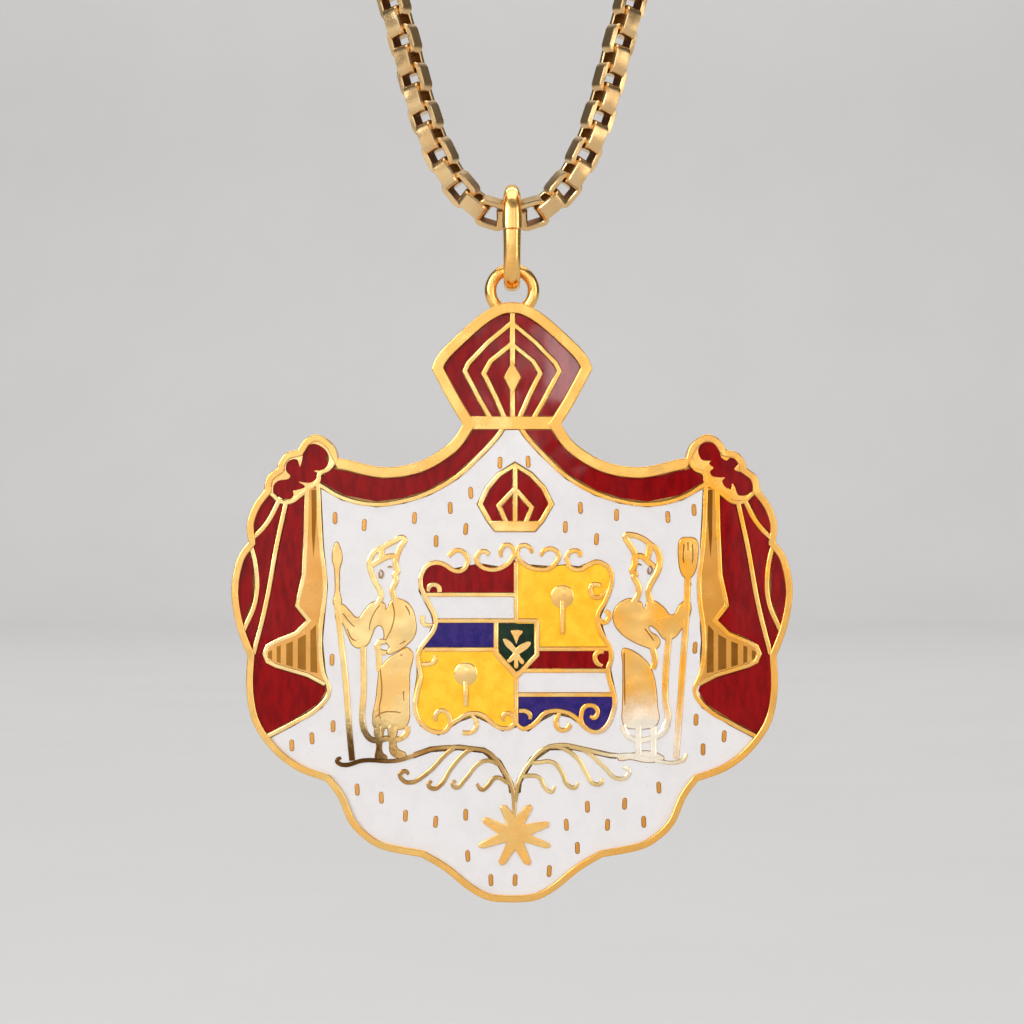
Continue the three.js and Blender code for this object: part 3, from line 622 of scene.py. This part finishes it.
def copied(name, first, places):
    """One piece out of a copy at each place, each copy with a mesh of its own before they are joined."""
    copies = []
    for place in places:
        copy = first.copy()
        copy.data = first.data.copy()
        bpy.context.collection.objects.link(copy)
        copy.data.transform(place)
        copies.append(copy)
    remove(first)
    return join(name, copies)


def round_edges(obj, width, segments):
    bevel = obj.modifiers.new("round", "BEVEL")
    bevel.width = width
    bevel.segments = segments
    bevel.limit_method = "ANGLE"
    bevel.angle_limit = math.radians(60)
    bpy.ops.object.modifier_apply(modifier="round")


def profile(name, width, low, high, rounding):
    """Cross-section of a line: flat on top, with rounded shoulders."""
    curve = empty_curve(name, True)
    half = width / 2
    corner = rounding * 0.3
    points = [
        (-half, low), (-half, high - rounding), (-half + corner, high - corner), (-half + rounding, high),
        (half - rounding, high), (half - corner, high - corner), (half, high - rounding), (half, low),
    ]
    add_spline(curve, points, closed=True)
    return curve


def lines(name, lists, width, high, low, closed=(), smooth=True, taper=1.0):
    """Gold lines of one width along lists of squares, standing up from low to high."""
    curve = empty_curve(name, True)
    section = profile(name + "_section", width, low - LEVEL, high - LEVEL, SHOULDER * width)
    for i, points in enumerate(lists):
        spline = add_spline(curve, [square(p) for p in points], points in closed, smooth)
        for bezier in spline.bezier_points:
            bezier.radius = 1 + STAGGER * i
        if taper < 1:
            spline.bezier_points[-1].radius = taper
    mesh = swept(curve, section)
    mesh.data.transform(Matrix.Translation((0, 0, LEVEL)))
    return mesh


def plate(name, outlines, low, high, rounding, smooth=False, placed=False, grown=0.0):
    """A flat piece inside its outlines, with rounded edges. An outline inside another one is a hole."""
    curve = empty_curve(name, True)
    curve.data.fill_mode = "BOTH"
    for points in outlines:
        add_spline(curve, points if placed else [square(p) for p in points], True, smooth)
    curve.data.extrude = (high - low) / 2 - rounding
    curve.data.bevel_depth = rounding
    curve.data.bevel_resolution = 2
    curve.data.offset = grown - rounding
    mesh = as_mesh(curve)
    mesh.data.transform(Matrix.Translation((0, 0, (high + low) / 2)))
    return mesh


def plates(name, outlines, sizes, step=0, smooth=False, grown=0.0):
    """A flat piece for each outline, each a step higher than the one before it."""
    low, high, rounding = sizes
    return [
        plate(name, [points], low, high + step * i, rounding, smooth=smooth, grown=grown)
        for i, points in enumerate(outlines)
    ]


# Outline of the badge and of the room inside its rim


def outline():
    """Points round the badge, each with the width of the rim there."""
    stretches = [(RIM_WIDTH_TOP, points) for points in WIDE_STRETCHES]
    stretches += [(RIM_WIDTH, points) for points in NARROW_STRETCHES]
    left = []
    for width, points in stretches:
        left += [(width, square(p)) for p in rounded(points)[:-1]]
    lowest = (RIM_WIDTH, square(NARROW_STRETCHES[-1][-1]))
    right = [(width, Vector((-p.x, p.y, 0))) for width, p in reversed(left[1:])]
    return left + [lowest] + right


def clearance(point, ring):
    """How much farther than the rim's own width a point is from the outline."""
    nearest = math.inf
    for (width, start), (_, end) in zip(ring, ring[1:] + ring[:1]):
        span = end - start
        share = min(max((point - start).dot(span) / span.length_squared, 0), 1)
        nearest = min(nearest, (start + span * share - point).length - width)
    return nearest


def inward(ring):
    """The same points moved in by the rim's width, mitred at corners, where the room inside begins."""
    moved = []
    for i, (width, point) in enumerate(ring):
        before = ring[i - 1][1]
        after = ring[(i + 1) % len(ring)][1]
        into = (point - before).normalized()
        out = (after - point).normalized()
        along = (into + out).normalized()
        lean = max(along.dot(into), 0.5)
        side = Vector((-along.y, along.x, 0))
        moved.append(point + side * width / lean)
    return [point for point in moved if clearance(point, ring) > -0.01]


# Gold and enamel of the badge


def rim():
    ring = outline()
    edge = [point for _, point in ring]
    return plate("badge_rim", [edge, inward(ring)], *RIM_SIZES, placed=True)


def back_plate():
    ring = [(BACK_INSET, point) for _, point in outline()]
    return plate("badge_back", [inward(ring)], *BACK_SIZES, placed=True)


def hanging_loop():
    """The round wire loop soldered behind the crown's peak."""
    deselect()
    bpy.ops.curve.primitive_bezier_circle_add(radius=LOOP_BEND, location=(0, 0, 0))
    loop = added("badge_loop")
    loop.data.resolution_u = 14
    loop.data.bevel_depth = LOOP_WIRE / 2
    loop.data.bevel_resolution = 5
    mesh = as_mesh(loop)
    mesh.data.transform(Matrix.Translation((0, LOOP_Z, 0)))
    return mesh


def knot_gold():
    """Gold round the red of each knot."""
    pieces = []
    for edge, red in zip((KNOT_EDGE, mirrored(KNOT_EDGE)), KNOTS):
        hole = rounded(red + red[:1], 3)[:-1]
        pieces.append(plate("knot_gold", [edge, hole], *KNOT_SIZES))
    return join("knot_gold", pieces)


def cell_walls():
    """Walls between the enamel cells, with the figures that rise from them."""
    straight = both(MIRRORED_STRAIGHT_WALLS) + STRAIGHT_WALLS + CLOSED_WALLS
    pieces = [
        lines("curved_walls", both(MIRRORED_CURVED_WALLS), *WALL_SIZES),
        lines("straight_walls", straight, *WALL_SIZES, closed=CLOSED_WALLS, smooth=False),
        plate("single_figures", FIGURES, *FIGURE_SIZES),
        knot_gold(),
    ]
    return join("cell_walls", pieces)


def supporters():
    pieces = [lines("supporter_lines", SUPPORTER_LINES, *BODY_LINE_SIZES)]
    pieces += plates("supporter_part", SUPPORTERS, BODY_SIZES, step=STEP, smooth=True)
    return join("supporters", pieces)


def tufts(name, grown, sizes):
    """Small upright slots on the white ground."""
    half = TUFT_WIDTH / 2 + grown
    straight = (TUFT_LENGTH - TUFT_WIDTH) / 2
    top = [(half * math.cos(t), straight + half * math.sin(t)) for t in arc(6)]
    slot = top + [(-x, -y) for x, y in top]
    places = []
    for i, middle in enumerate(TUFTS):
        lean = Matrix.Rotation(TUFT_LEAN * math.sin(5 * i), 4, "Z")
        places.append(Matrix.Translation(square(middle)) @ lean)
    return copied(name, plate("tuft", [slot], *sizes, placed=True), places)


def ball(point):
    """The front half of a ball, pressed flat."""
    deselect()
    bpy.ops.mesh.primitive_uv_sphere_add(
        segments=24, ring_count=12, radius=BALL_RADIUS, location=(0, 0, 0)
    )
    bead = added("staff_ball")
    mode("EDIT")
    bpy.ops.mesh.select_all(action="SELECT")
    bpy.ops.mesh.bisect(plane_co=(0, 0, 0), plane_no=(0, 0, 1), clear_inner=True, use_fill=True)
    mode("OBJECT")
    foot = square(point) + Vector((0, 0, BALL_FOOT))
    bead.data.transform(Matrix.Translation(foot) @ Matrix.Diagonal((1, 1, BALL_FLATNESS, 1)))
    return bead


def dark_edges():
    """Thin dark borders where the gold on the white ground meets the enamel: painted shadow lines of the
    seams.
    """
    pieces = []
    for name, lists, sizes, taper in (
        ("scroll_edges", SCROLLS, SCROLL_SIZES, EDGE_TIP),
        ("branch_edges", BRANCHES, BRANCH_SIZES, EDGE_TIP),
        ("body_edges", SUPPORTER_LINES, BODY_LINE_SIZES, 1),
    ):
        width, _, foot = sizes
        pieces.append(lines(name, lists, width + 2 * EDGE_WIDTH, EDGE_FRONT, foot, taper=taper))
    pieces.append(tufts("tuft_edges", EDGE_WIDTH, TUFT_EDGE_SIZES))
    pieces += plates("part_edge", SUPPORTERS, BODY_EDGE_SIZES, smooth=True, grown=EDGE_WIDTH)
    return join("dark_edges", pieces)


def shield_field(name, left, right, top, bottom):
    """Enamel of one field of the shield, running on under the gold along its edge."""
    edge = CURVED_WALLS[0] + CURVED_WALLS[1][-2:0:-1]
    field = plate(name, [edge], *FIELD_SIZES, smooth=True, grown=FIELD_GROWTH)
    pick(field)
    mode("EDIT")
    for across, down, outward in (
        (left, top, (-1, 0, 0)),
        (right, top, (1, 0, 0)),
        (left, top, (0, 1, 0)),
        (left, bottom, (0, -1, 0)),
    ):
        bpy.ops.mesh.select_all(action="SELECT")
        cut = square((across, down))
        bpy.ops.mesh.bisect(plane_co=cut, plane_no=outward, clear_outer=True, use_fill=True)
    mode("OBJECT")
    return field


# Chain, clasp and jump ring


def chain_route():
    right = [Vector(p) for p in ROUTE]
    left = [Vector((-p.x, p.y, p.z)) for p in reversed(right[1:])]
    return rounded(left + right, 12)


def chain_places():
    """Matrix of each link: as many as fit the route, at even steps."""
    route = chain_route()
    last = len(route) - 1
    reached = [0.0]
    for before, after in zip(route, route[1:]):
        reached.append(reached[-1] + (after - before).length)
    count = round(reached[-1] / LINK_PITCH)
    places = []
    at = 0
    for i in range(count + 1):
        distance = reached[-1] * i / count
        while at < last - 1 and reached[at + 1] < distance:
            at += 1
        share = (distance - reached[at]) / (reached[at + 1] - reached[at])
        point = route[at].lerp(route[at + 1], share)
        along = (route[min(at + 2, last)] - route[max(at - 1, 0)]).normalized()
        turn = CHAIN_TURN + (i % 2) * math.pi / 2
        facing = Matrix.Rotation(turn, 3, along) @ Vector((point.x, point.y - NECK_AXIS, 0))
        facing = (facing - along * facing.dot(along)).normalized()
        across = along.cross(facing)
        turned = Matrix((across, along, facing)).transposed().to_4x4()
        places.append(Matrix.Translation(point) @ turned)
    return places


def link():
    """One square link: a short box bored through, with rounded corners, its inward faces in painted shade.
    The chain runs along its Y.
    """
    deselect()
    bpy.ops.mesh.primitive_cube_add(size=1, location=(0, 0, 0))
    box = added("link")
    box.data.transform(Matrix.Diagonal((LINK_STRIP, LINK_LENGTH, LINK_SIDE, 1)))
    mode("EDIT")
    bpy.ops.mesh.select_mode(type="EDGE")
    bpy.ops.mesh.select_all(action="DESELECT")
    mode("OBJECT")
    for edge in box.data.edges:
        start, end = (box.data.vertices[v].co for v in edge.vertices)
        edge.select = abs(start.x - end.x) > 0.5 * LINK_STRIP
    mode("EDIT")
    bpy.ops.mesh.bevel(offset=LINK_CORNER, segments=3)
    bpy.ops.mesh.select_all(action="DESELECT")
    bpy.ops.mesh.select_mode(type="FACE")
    mode("OBJECT")
    for face in box.data.polygons:
        face.select = abs(face.normal.x) > 0.9
    mode("EDIT")
    bpy.ops.mesh.inset(thickness=LINK_WALL, use_individual=True)
    bpy.ops.mesh.bridge_edge_loops()
    mode("OBJECT")
    round_edges(box, LINK_ROUNDING, 1)
    box.data.materials.append(CHAIN_GOLD)
    box.data.materials.append(CHAIN_PAINTED_SHADE)
    # Faces that turn into the link's hollow get the painted shade of the hollow
    for face in box.data.polygons:
        flat_normal = Vector((0, face.normal.y, face.normal.z))
        inside = flat_normal.length > 0.8 and flat_normal.dot(face.center) < 0
        face.material_index = 1 if inside else 0
    return box


def jump_ring():
    """Long ring of flat-sided wire whose ends meet at a seam in front."""
    curve = empty_curve("jump_ring_wire", False)
    curve.data.twist_mode = "MINIMUM"
    ends = [(0, -RING_BEND, -SEAM_DROP - RING_SEAM / 2), (0, -RING_BEND, -RING_STRAIGHT)]
    low = [(0, -RING_BEND * math.cos(t), -RING_STRAIGHT - RING_BEND * math.sin(t)) for t in arc(8)]
    high = [(0, RING_BEND * math.cos(t), RING_BEND * math.sin(t)) for t in arc(8)]
    points = ends + low[1:] + high + [(0, -RING_BEND, -SEAM_DROP + RING_SEAM / 2)]
    spline = curve.data.splines.new("POLY")
    spline.points.add(len(points) - 1)
    for place, point in zip(spline.points, points):
        place.co = (*point, 1)
        rise = max(point[2] / RING_BEND, 0)
        place.radius = RING_BELOW_SEAM
        if point[2] > -SEAM_DROP:
            place.radius = RING_ABOVE_SEAM - RING_THINNER_AT_TOP * rise**3
    section = empty_curve("ring_section", True)
    sides = 16
    oval = []
    for i in range(sides):
        turn = 2 * math.pi * i / sides
        across = math.copysign(abs(math.cos(turn)) ** RING_SQUARENESS, math.cos(turn))
        up = math.copysign(abs(math.sin(turn)) ** RING_SQUARENESS, math.sin(turn))
        oval.append((RING_WIDTH / 2 * across, RING_WIRE / 2 * up))
    add_spline(section, oval, closed=True)
    return swept(curve, section)


def clasp():
    """Barrel clasp with two grooves and rounded ends."""
    deselect()
    bpy.ops.mesh.primitive_cylinder_add(
        vertices=32, radius=CLASP_RADIUS, depth=CLASP_LENGTH, location=(0, 0, 0)
    )
    barrel = added("clasp_barrel")
    mode("EDIT")
    for middle, half in CLASP_GROOVES.items():
        for height in (middle - half, middle, middle + half):
            bpy.ops.mesh.select_all(action="SELECT")
            bpy.ops.mesh.bisect(plane_co=(0, 0, height), plane_no=(0, 0, 1))
    mode("OBJECT")
    for vertex in barrel.data.vertices:
        if min(abs(vertex.co.z - middle) for middle in CLASP_GROOVES) < 0.01:
            vertex.co.x *= GROOVE_SHARE
            vertex.co.y *= GROOVE_SHARE
    round_edges(barrel, CLASP_ROUNDING, 3)
    barrel.data.transform(Matrix.Rotation(math.pi / 2, 4, "Y"))
    return barrel


# Materials


class Value:
    """An output of a material's nodes, to reckon with."""

    def __init__(self, tree, socket):
        self.tree = tree
        self.socket = socket

    def reckon(self, operation, first, second):
        node = self.tree.nodes.new("ShaderNodeMath")
        node.operation = operation
        feed(self.tree, node.inputs[0], first)
        feed(self.tree, node.inputs[1], second)
        return Value(self.tree, node.outputs[0])

    def __add__(self, other):
        return self.reckon("ADD", self, other)

    def __radd__(self, other):
        return self.reckon("ADD", other, self)

    def __sub__(self, other):
        return self.reckon("SUBTRACT", self, other)

    def __rsub__(self, other):
        return self.reckon("SUBTRACT", other, self)

    def __mul__(self, other):
        return self.reckon("MULTIPLY", self, other)

    def __rmul__(self, other):
        return self.reckon("MULTIPLY", other, self)


def feed(tree, slot, value):
    if isinstance(value, Value):
        tree.links.new(value.socket, slot)
    else:
        slot.default_value = value


class Finish:
    """A material whose pattern is laid out in object coordinates."""

    def __init__(self, name, **constants):
        self.material = bpy.data.materials.new(name)
        self.material.use_nodes = True
        self.tree = self.material.node_tree
        self.surface = self.tree.nodes["Principled BSDF"]
        self.place = self.node("ShaderNodeTexCoord", output="Object")
        for slot, value in constants.items():
            self.set(slot.replace("_", " "), value)

    def set(self, slot, value):
        feed(self.tree, self.surface.inputs[slot], value)

    def node(self, kind, settings=None, inputs=None, output=0):
        node = self.tree.nodes.new(kind)
        for name, value in (settings or {}).items():
            setattr(node, name, value)
        for name, value in (inputs or {}).items():
            feed(self.tree, node.inputs[name], value)
        return Value(self.tree, node.outputs[output])

    def noise(self, size, detail=3.0, rough=0.5, stretch=(1, 1, 1)):
        """Noise whose cells are about size millimetres across."""
        placed = self.node("ShaderNodeMapping", None, {"Vector": self.place, "Scale": stretch})
        return self.node(
            "ShaderNodeTexNoise",
            None,
            {"Vector": placed, "Scale": 1 / (size * MM), "Detail": detail, "Roughness": rough},
        )

    def across(self):
        return self.node("ShaderNodeSeparateXYZ", None, {0: self.place}, "X")

    def patch(self, middle, radius, edge):
        """1 near a place on the badge, fading out with a broken edge."""
        ends = {0: self.place, 1: UPRIGHT @ square(middle)}
        away = self.node("ShaderNodeVectorMath", {"operation": "DISTANCE"}, ends, "Value")
        return 1 - self.between(away + edge * (1.5 * MM), 0.6 * radius * MM, (radius + 1) * MM)

    def between(self, value, low, high):
        """0 below low, 1 above high, and a soft step between them."""
        return self.node(
            "ShaderNodeMapRange", {"interpolation_type": "SMOOTHSTEP"}, {0: value, 1: low, 2: high}
        )

    def mix(self, share, first, second):
        return self.node("ShaderNodeMix", {"data_type": "RGBA"}, {0: share, 6: first, 7: second}, 2)

    def bump(self, height, distance):
        bumps = {"Height": height, "Distance": distance * MM, "Strength": 1.0}
        self.set("Normal", self.node("ShaderNodeBump", None, bumps))


def colour(code):
    """Linear colour of a hexadecimal one."""
    shares = [int(code[i : i + 2], 16) / 255 for i in (0, 2, 4)]
    return (*[s / 12.92 if s <= 0.04045 else ((s + 0.055) / 1.055) ** 2.4 for s in shares], 1)


def gold(name, pale, deep, roughness, wear, side=(-0.012, 0.012), painted_reflections=False):
    """Gold that turns from pale to deep across the object as painted light, and in clouds of its own tone,
    with grain and scratches.
    """
    look = Finish(name, Metallic=1.0)
    cloud = look.noise(CLOUD_SIZE)
    grain = look.noise(GRAIN_SIZE, 4.0, 0.6)
    scratches = look.noise(SCRATCH_SIZE, 3.0, 0.6, (1, 1, 0.12))
    # Between the two sides given, one tone turns into the other across the object: painted light and
    # reflection that fall unevenly. The clouds are the gold's own random tone.
    tint = look.between(look.across(), *side) * 0.6 + look.between(cloud, 0.35, 0.65) * 0.4
    paint = look.mix(tint, colour(pale), colour(deep))
    # Painted reflections: dark and pale patches of reflected light on the badge
    if painted_reflections:
        for middle, radius, reflected_tone in PAINTED_REFLECTION_PATCHES:
            paint = look.mix(look.patch(middle, radius, grain), paint, colour(reflected_tone))
    look.set("Base Color", paint)
    look.set("Roughness", roughness + look.between(cloud, 0.4, 0.7) * 0.08 + grain * 0.06)
    waves = look.noise(WAVE_SIZE, 1.0)
    look.bump(waves * 14 + grain * 0.5 + scratches * 0.5, wear)
    return look.material


def enamel(name, main, dark, mottle, size=0.5, speck=None, stretch=(1, 1, 1), glass=1.3):
    """Enamel with clouds of a darker tone, some with specks. A higher glass makes it glossier."""
    look = Finish(name, Metallic=0.0, Coat_Weight=0.12, Coat_Roughness=0.03, IOR=glass)
    cloud = look.between(look.noise(size, 4.0, 0.65, stretch), 0.38, 0.66)
    paint = look.mix(cloud * mottle, colour(main), colour(dark))
    if speck:
        dots = look.between(look.noise(SPECK_SIZE, 2.0, 0.5), 0.72, 0.78)
        paint = look.mix(dots * 0.7, paint, colour(speck))
    look.set("Base Color", paint)
    look.set("Roughness", 0.08 + look.noise(0.8) * 0.06)
    look.bump(look.noise(3.0, 2.0), 0.05)
    return look.material


BADGE_GOLD = gold("badge_gold", "ffdf9c", "faae3c", 0.2, 0.004, painted_reflections=True)
CHAIN_GOLD = gold("chain_gold", "f2d3a0", "dcb074", 0.2, 0.006, (-0.05, 0.05))
# Painted shade for the inner faces of the links
CHAIN_PAINTED_SHADE = gold("chain_painted_shade", "8a5a26", "6a421a", 0.4, 0.006, (-0.05, 0.05))
# Branches: dark brown on the left and pale on the right, painted reflections
BRANCH_PAINTED_REFLECTION_GOLD = gold("branch_painted_reflection_gold", "a06824", "ffe2a0", 0.2, 0.004, (-0.005, 0.003), True)
RIM_GOLD = gold("rim_gold", "f8c878", "f2b256", 0.2, 0.004)
BACK_GOLD = gold("back_gold", "f8cf8c", "eeb766", 0.3, 0.003)
LINING_GOLD = gold("lining_gold", "e8ab60", "d9953e", 0.25, 0.004)
# Painted shade for the lining's slots
SLOT_PAINTED_SHADE = gold("slot_painted_shade", "a87430", "7a4a18", 0.45, 0.006, (-0.02, 0.02))
# Patina of the engraved lines, and painted shade of the dark borders round the gold
PATINA_AND_PAINTED_SHADE = gold("patina_and_painted_shade", "b07c40", "8a5a2a", 0.45, 0.004)
RED_ENAMEL = enamel("red_enamel", "8a0406", "640003", 0.7, 0.35, stretch=(1, 1, 0.3), glass=1.2)
WHITE_ENAMEL = enamel("white_enamel", "dcd9d9", "d8d5d5", 1.0, 1.2, "b4aca4")
YELLOW_ENAMEL = enamel("yellow_enamel", "f9c535", "efb020", 0.8, 0.8)
BLUE_ENAMEL = enamel("blue_enamel", "33206c", "1c1260", 1.0, 0.6)
GREEN_ENAMEL = enamel("green_enamel", "0c2c14", "061a0c", 1.0, 0.5)
ENAMELS = {
    "white": WHITE_ENAMEL, "ground": WHITE_ENAMEL, "yellow": YELLOW_ENAMEL, "blue": BLUE_ENAMEL,
    "middle_shield": GREEN_ENAMEL,
}


def enamel_for(name):
    """The enamel that a piece's name speaks of, or else red."""
    return next((ENAMELS[word] for word in ENAMELS if word in name), RED_ENAMEL)


def dress(obj, body, material, place, nodes):
    """Puts a piece in its place on its body, in its material and in the stead of the frame's nodes."""
    put(obj, place)
    if material:
        obj.data.materials.clear()
        obj.data.materials.append(material)
    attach(obj, body)
    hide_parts(*nodes)


def on_badge(obj, material):
    dress(obj, "pendant", material, UPRIGHT, ["pendant_frame"])


# The badge
on_badge(rim(), RIM_GOLD)
on_badge(back_plate(), BACK_GOLD)
on_badge(hanging_loop(), RIM_GOLD)
on_badge(cell_walls(), BADGE_GOLD)
on_badge(plate("mantle_lining", both(MIRRORED_FIGURES), *LINING_SIZES), LINING_GOLD)
on_badge(lines("shield_scrolls", SCROLLS, *SCROLL_SIZES, taper=TIP), BADGE_GOLD)
on_badge(lines("branches", BRANCHES, *BRANCH_SIZES, taper=TIP), BRANCH_PAINTED_REFLECTION_GOLD)
on_badge(supporters(), BADGE_GOLD)
on_badge(tufts("tufts", 0, TUFT_SIZES), LINING_GOLD)
for middle in BALLS:
    on_badge(ball(middle), BADGE_GOLD)
on_badge(lines("engraving", ENGRAVED, *ENGRAVED_SIZES, taper=ENGRAVED_TIP), PATINA_AND_PAINTED_SHADE)
on_badge(dark_edges(), PATINA_AND_PAINTED_SHADE)
on_badge(join("sprig", plates("leaf", SPRIG, SPRIG_SIZES, step=STEP, smooth=True)), BADGE_GOLD)
# The lining's slots: flat plates in painted shade
on_badge(join("lining_slots", plates("slot", both(LINING_SLOTS), SLOT_SIZES)), SLOT_PAINTED_SHADE)
on_badge(plate("ground_pockets", POCKETS, *POCKET_SIZES), WHITE_ENAMEL)
for name, sides in SHIELD_FIELDS.items():
    on_badge(shield_field(name, *sides), enamel_for(name))

# Enamel keeps the frame's own shapes
for name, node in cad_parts.items():
    if name not in ("chain", "clasp", "jump_ring", "pendant_frame"):
        node.data.materials.clear()
        node.data.materials.append(enamel_for(name))

# Ring, chain and clasp
dress(jump_ring(), "jump_ring", BADGE_GOLD, HUNG, ["jump_ring"])
dress(copied("chain_links", link(), chain_places()), "chain", None, HUNG, ["chain"])
dress(clasp(), "chain", CHAIN_GOLD, Matrix.Scale(MM, 4), ["clasp"])

# Studio: pale floor and backdrop, soft lights, and the camera straight in front


def backdrop():
    """A floor that bends up into a wall."""
    deselect()
    bpy.ops.mesh.primitive_plane_add(size=SWEEP_SIZE, location=(0, 0, 0))
    sweep = added("backdrop")
    mode("EDIT")
    bpy.ops.mesh.select_mode(type="EDGE")
    bpy.ops.mesh.select_all(action="DESELECT")
    mode("OBJECT")
    for edge in sweep.data.edges:
        edge.select = all(sweep.data.vertices[v].co.y > 1 for v in edge.vertices)
    mode("EDIT")
    bpy.ops.mesh.extrude_region_move(TRANSFORM_OT_translate={"value": (0, 0, SWEEP_HEIGHT)})
    mode("OBJECT")
    sweep.data.transform(Matrix.Translation((0, WALL_Y - SWEEP_SIZE / 2, FLOOR_Z)))
    bevel = sweep.modifiers.new("sweep", "BEVEL")
    bevel.width = SWEEP_BEND
    bevel.segments = 16
    bpy.ops.object.modifier_apply(modifier="sweep")
    bpy.ops.object.shade_smooth()
    pale = Finish("pale_backdrop", Roughness=0.9)
    grain = pale.noise(60.0)
    pale.set("Base Color", pale.mix(grain, (0.62, 0.61, 0.6, 1), (0.66, 0.65, 0.64, 1)))
    sweep.data.materials.append(pale.material)


def area_light(name, place, target, size, power, tint=(1, 1, 1)):
    deselect()
    bpy.ops.object.light_add(type="AREA", location=place)
    lamp = added(name)
    lamp.data.shape = "RECTANGLE"
    lamp.data.size, lamp.data.size_y = size
    lamp.data.energy = power
    lamp.data.color = tint
    lamp.rotation_euler = (Vector(target) - Vector(place)).to_track_quat("-Z", "Y").to_euler()


backdrop()
for name, settings in LAMPS.items():
    area_light(name, *settings)

world = bpy.data.worlds.new("studio_room")
bpy.context.scene.world = world
world.use_nodes = True
room = world.node_tree.nodes["Background"]
room.inputs["Color"].default_value = ROOM_COLOUR
room.inputs["Strength"].default_value = ROOM_LIGHT

deselect()
bpy.ops.object.camera_add(location=(0, 0, 0), rotation=(math.pi / 2, 0, 0))
camera = bpy.context.object
camera.data.lens = LENS
camera.data.sensor_width = SENSOR
camera.data.clip_start = 0.01
camera.location = VIEW_MIDDLE - Vector((0, VIEW_WIDTH * LENS / SENSOR, 0))
bpy.context.scene.camera = camera
bpy.context.scene.view_settings.view_transform = "Standard"
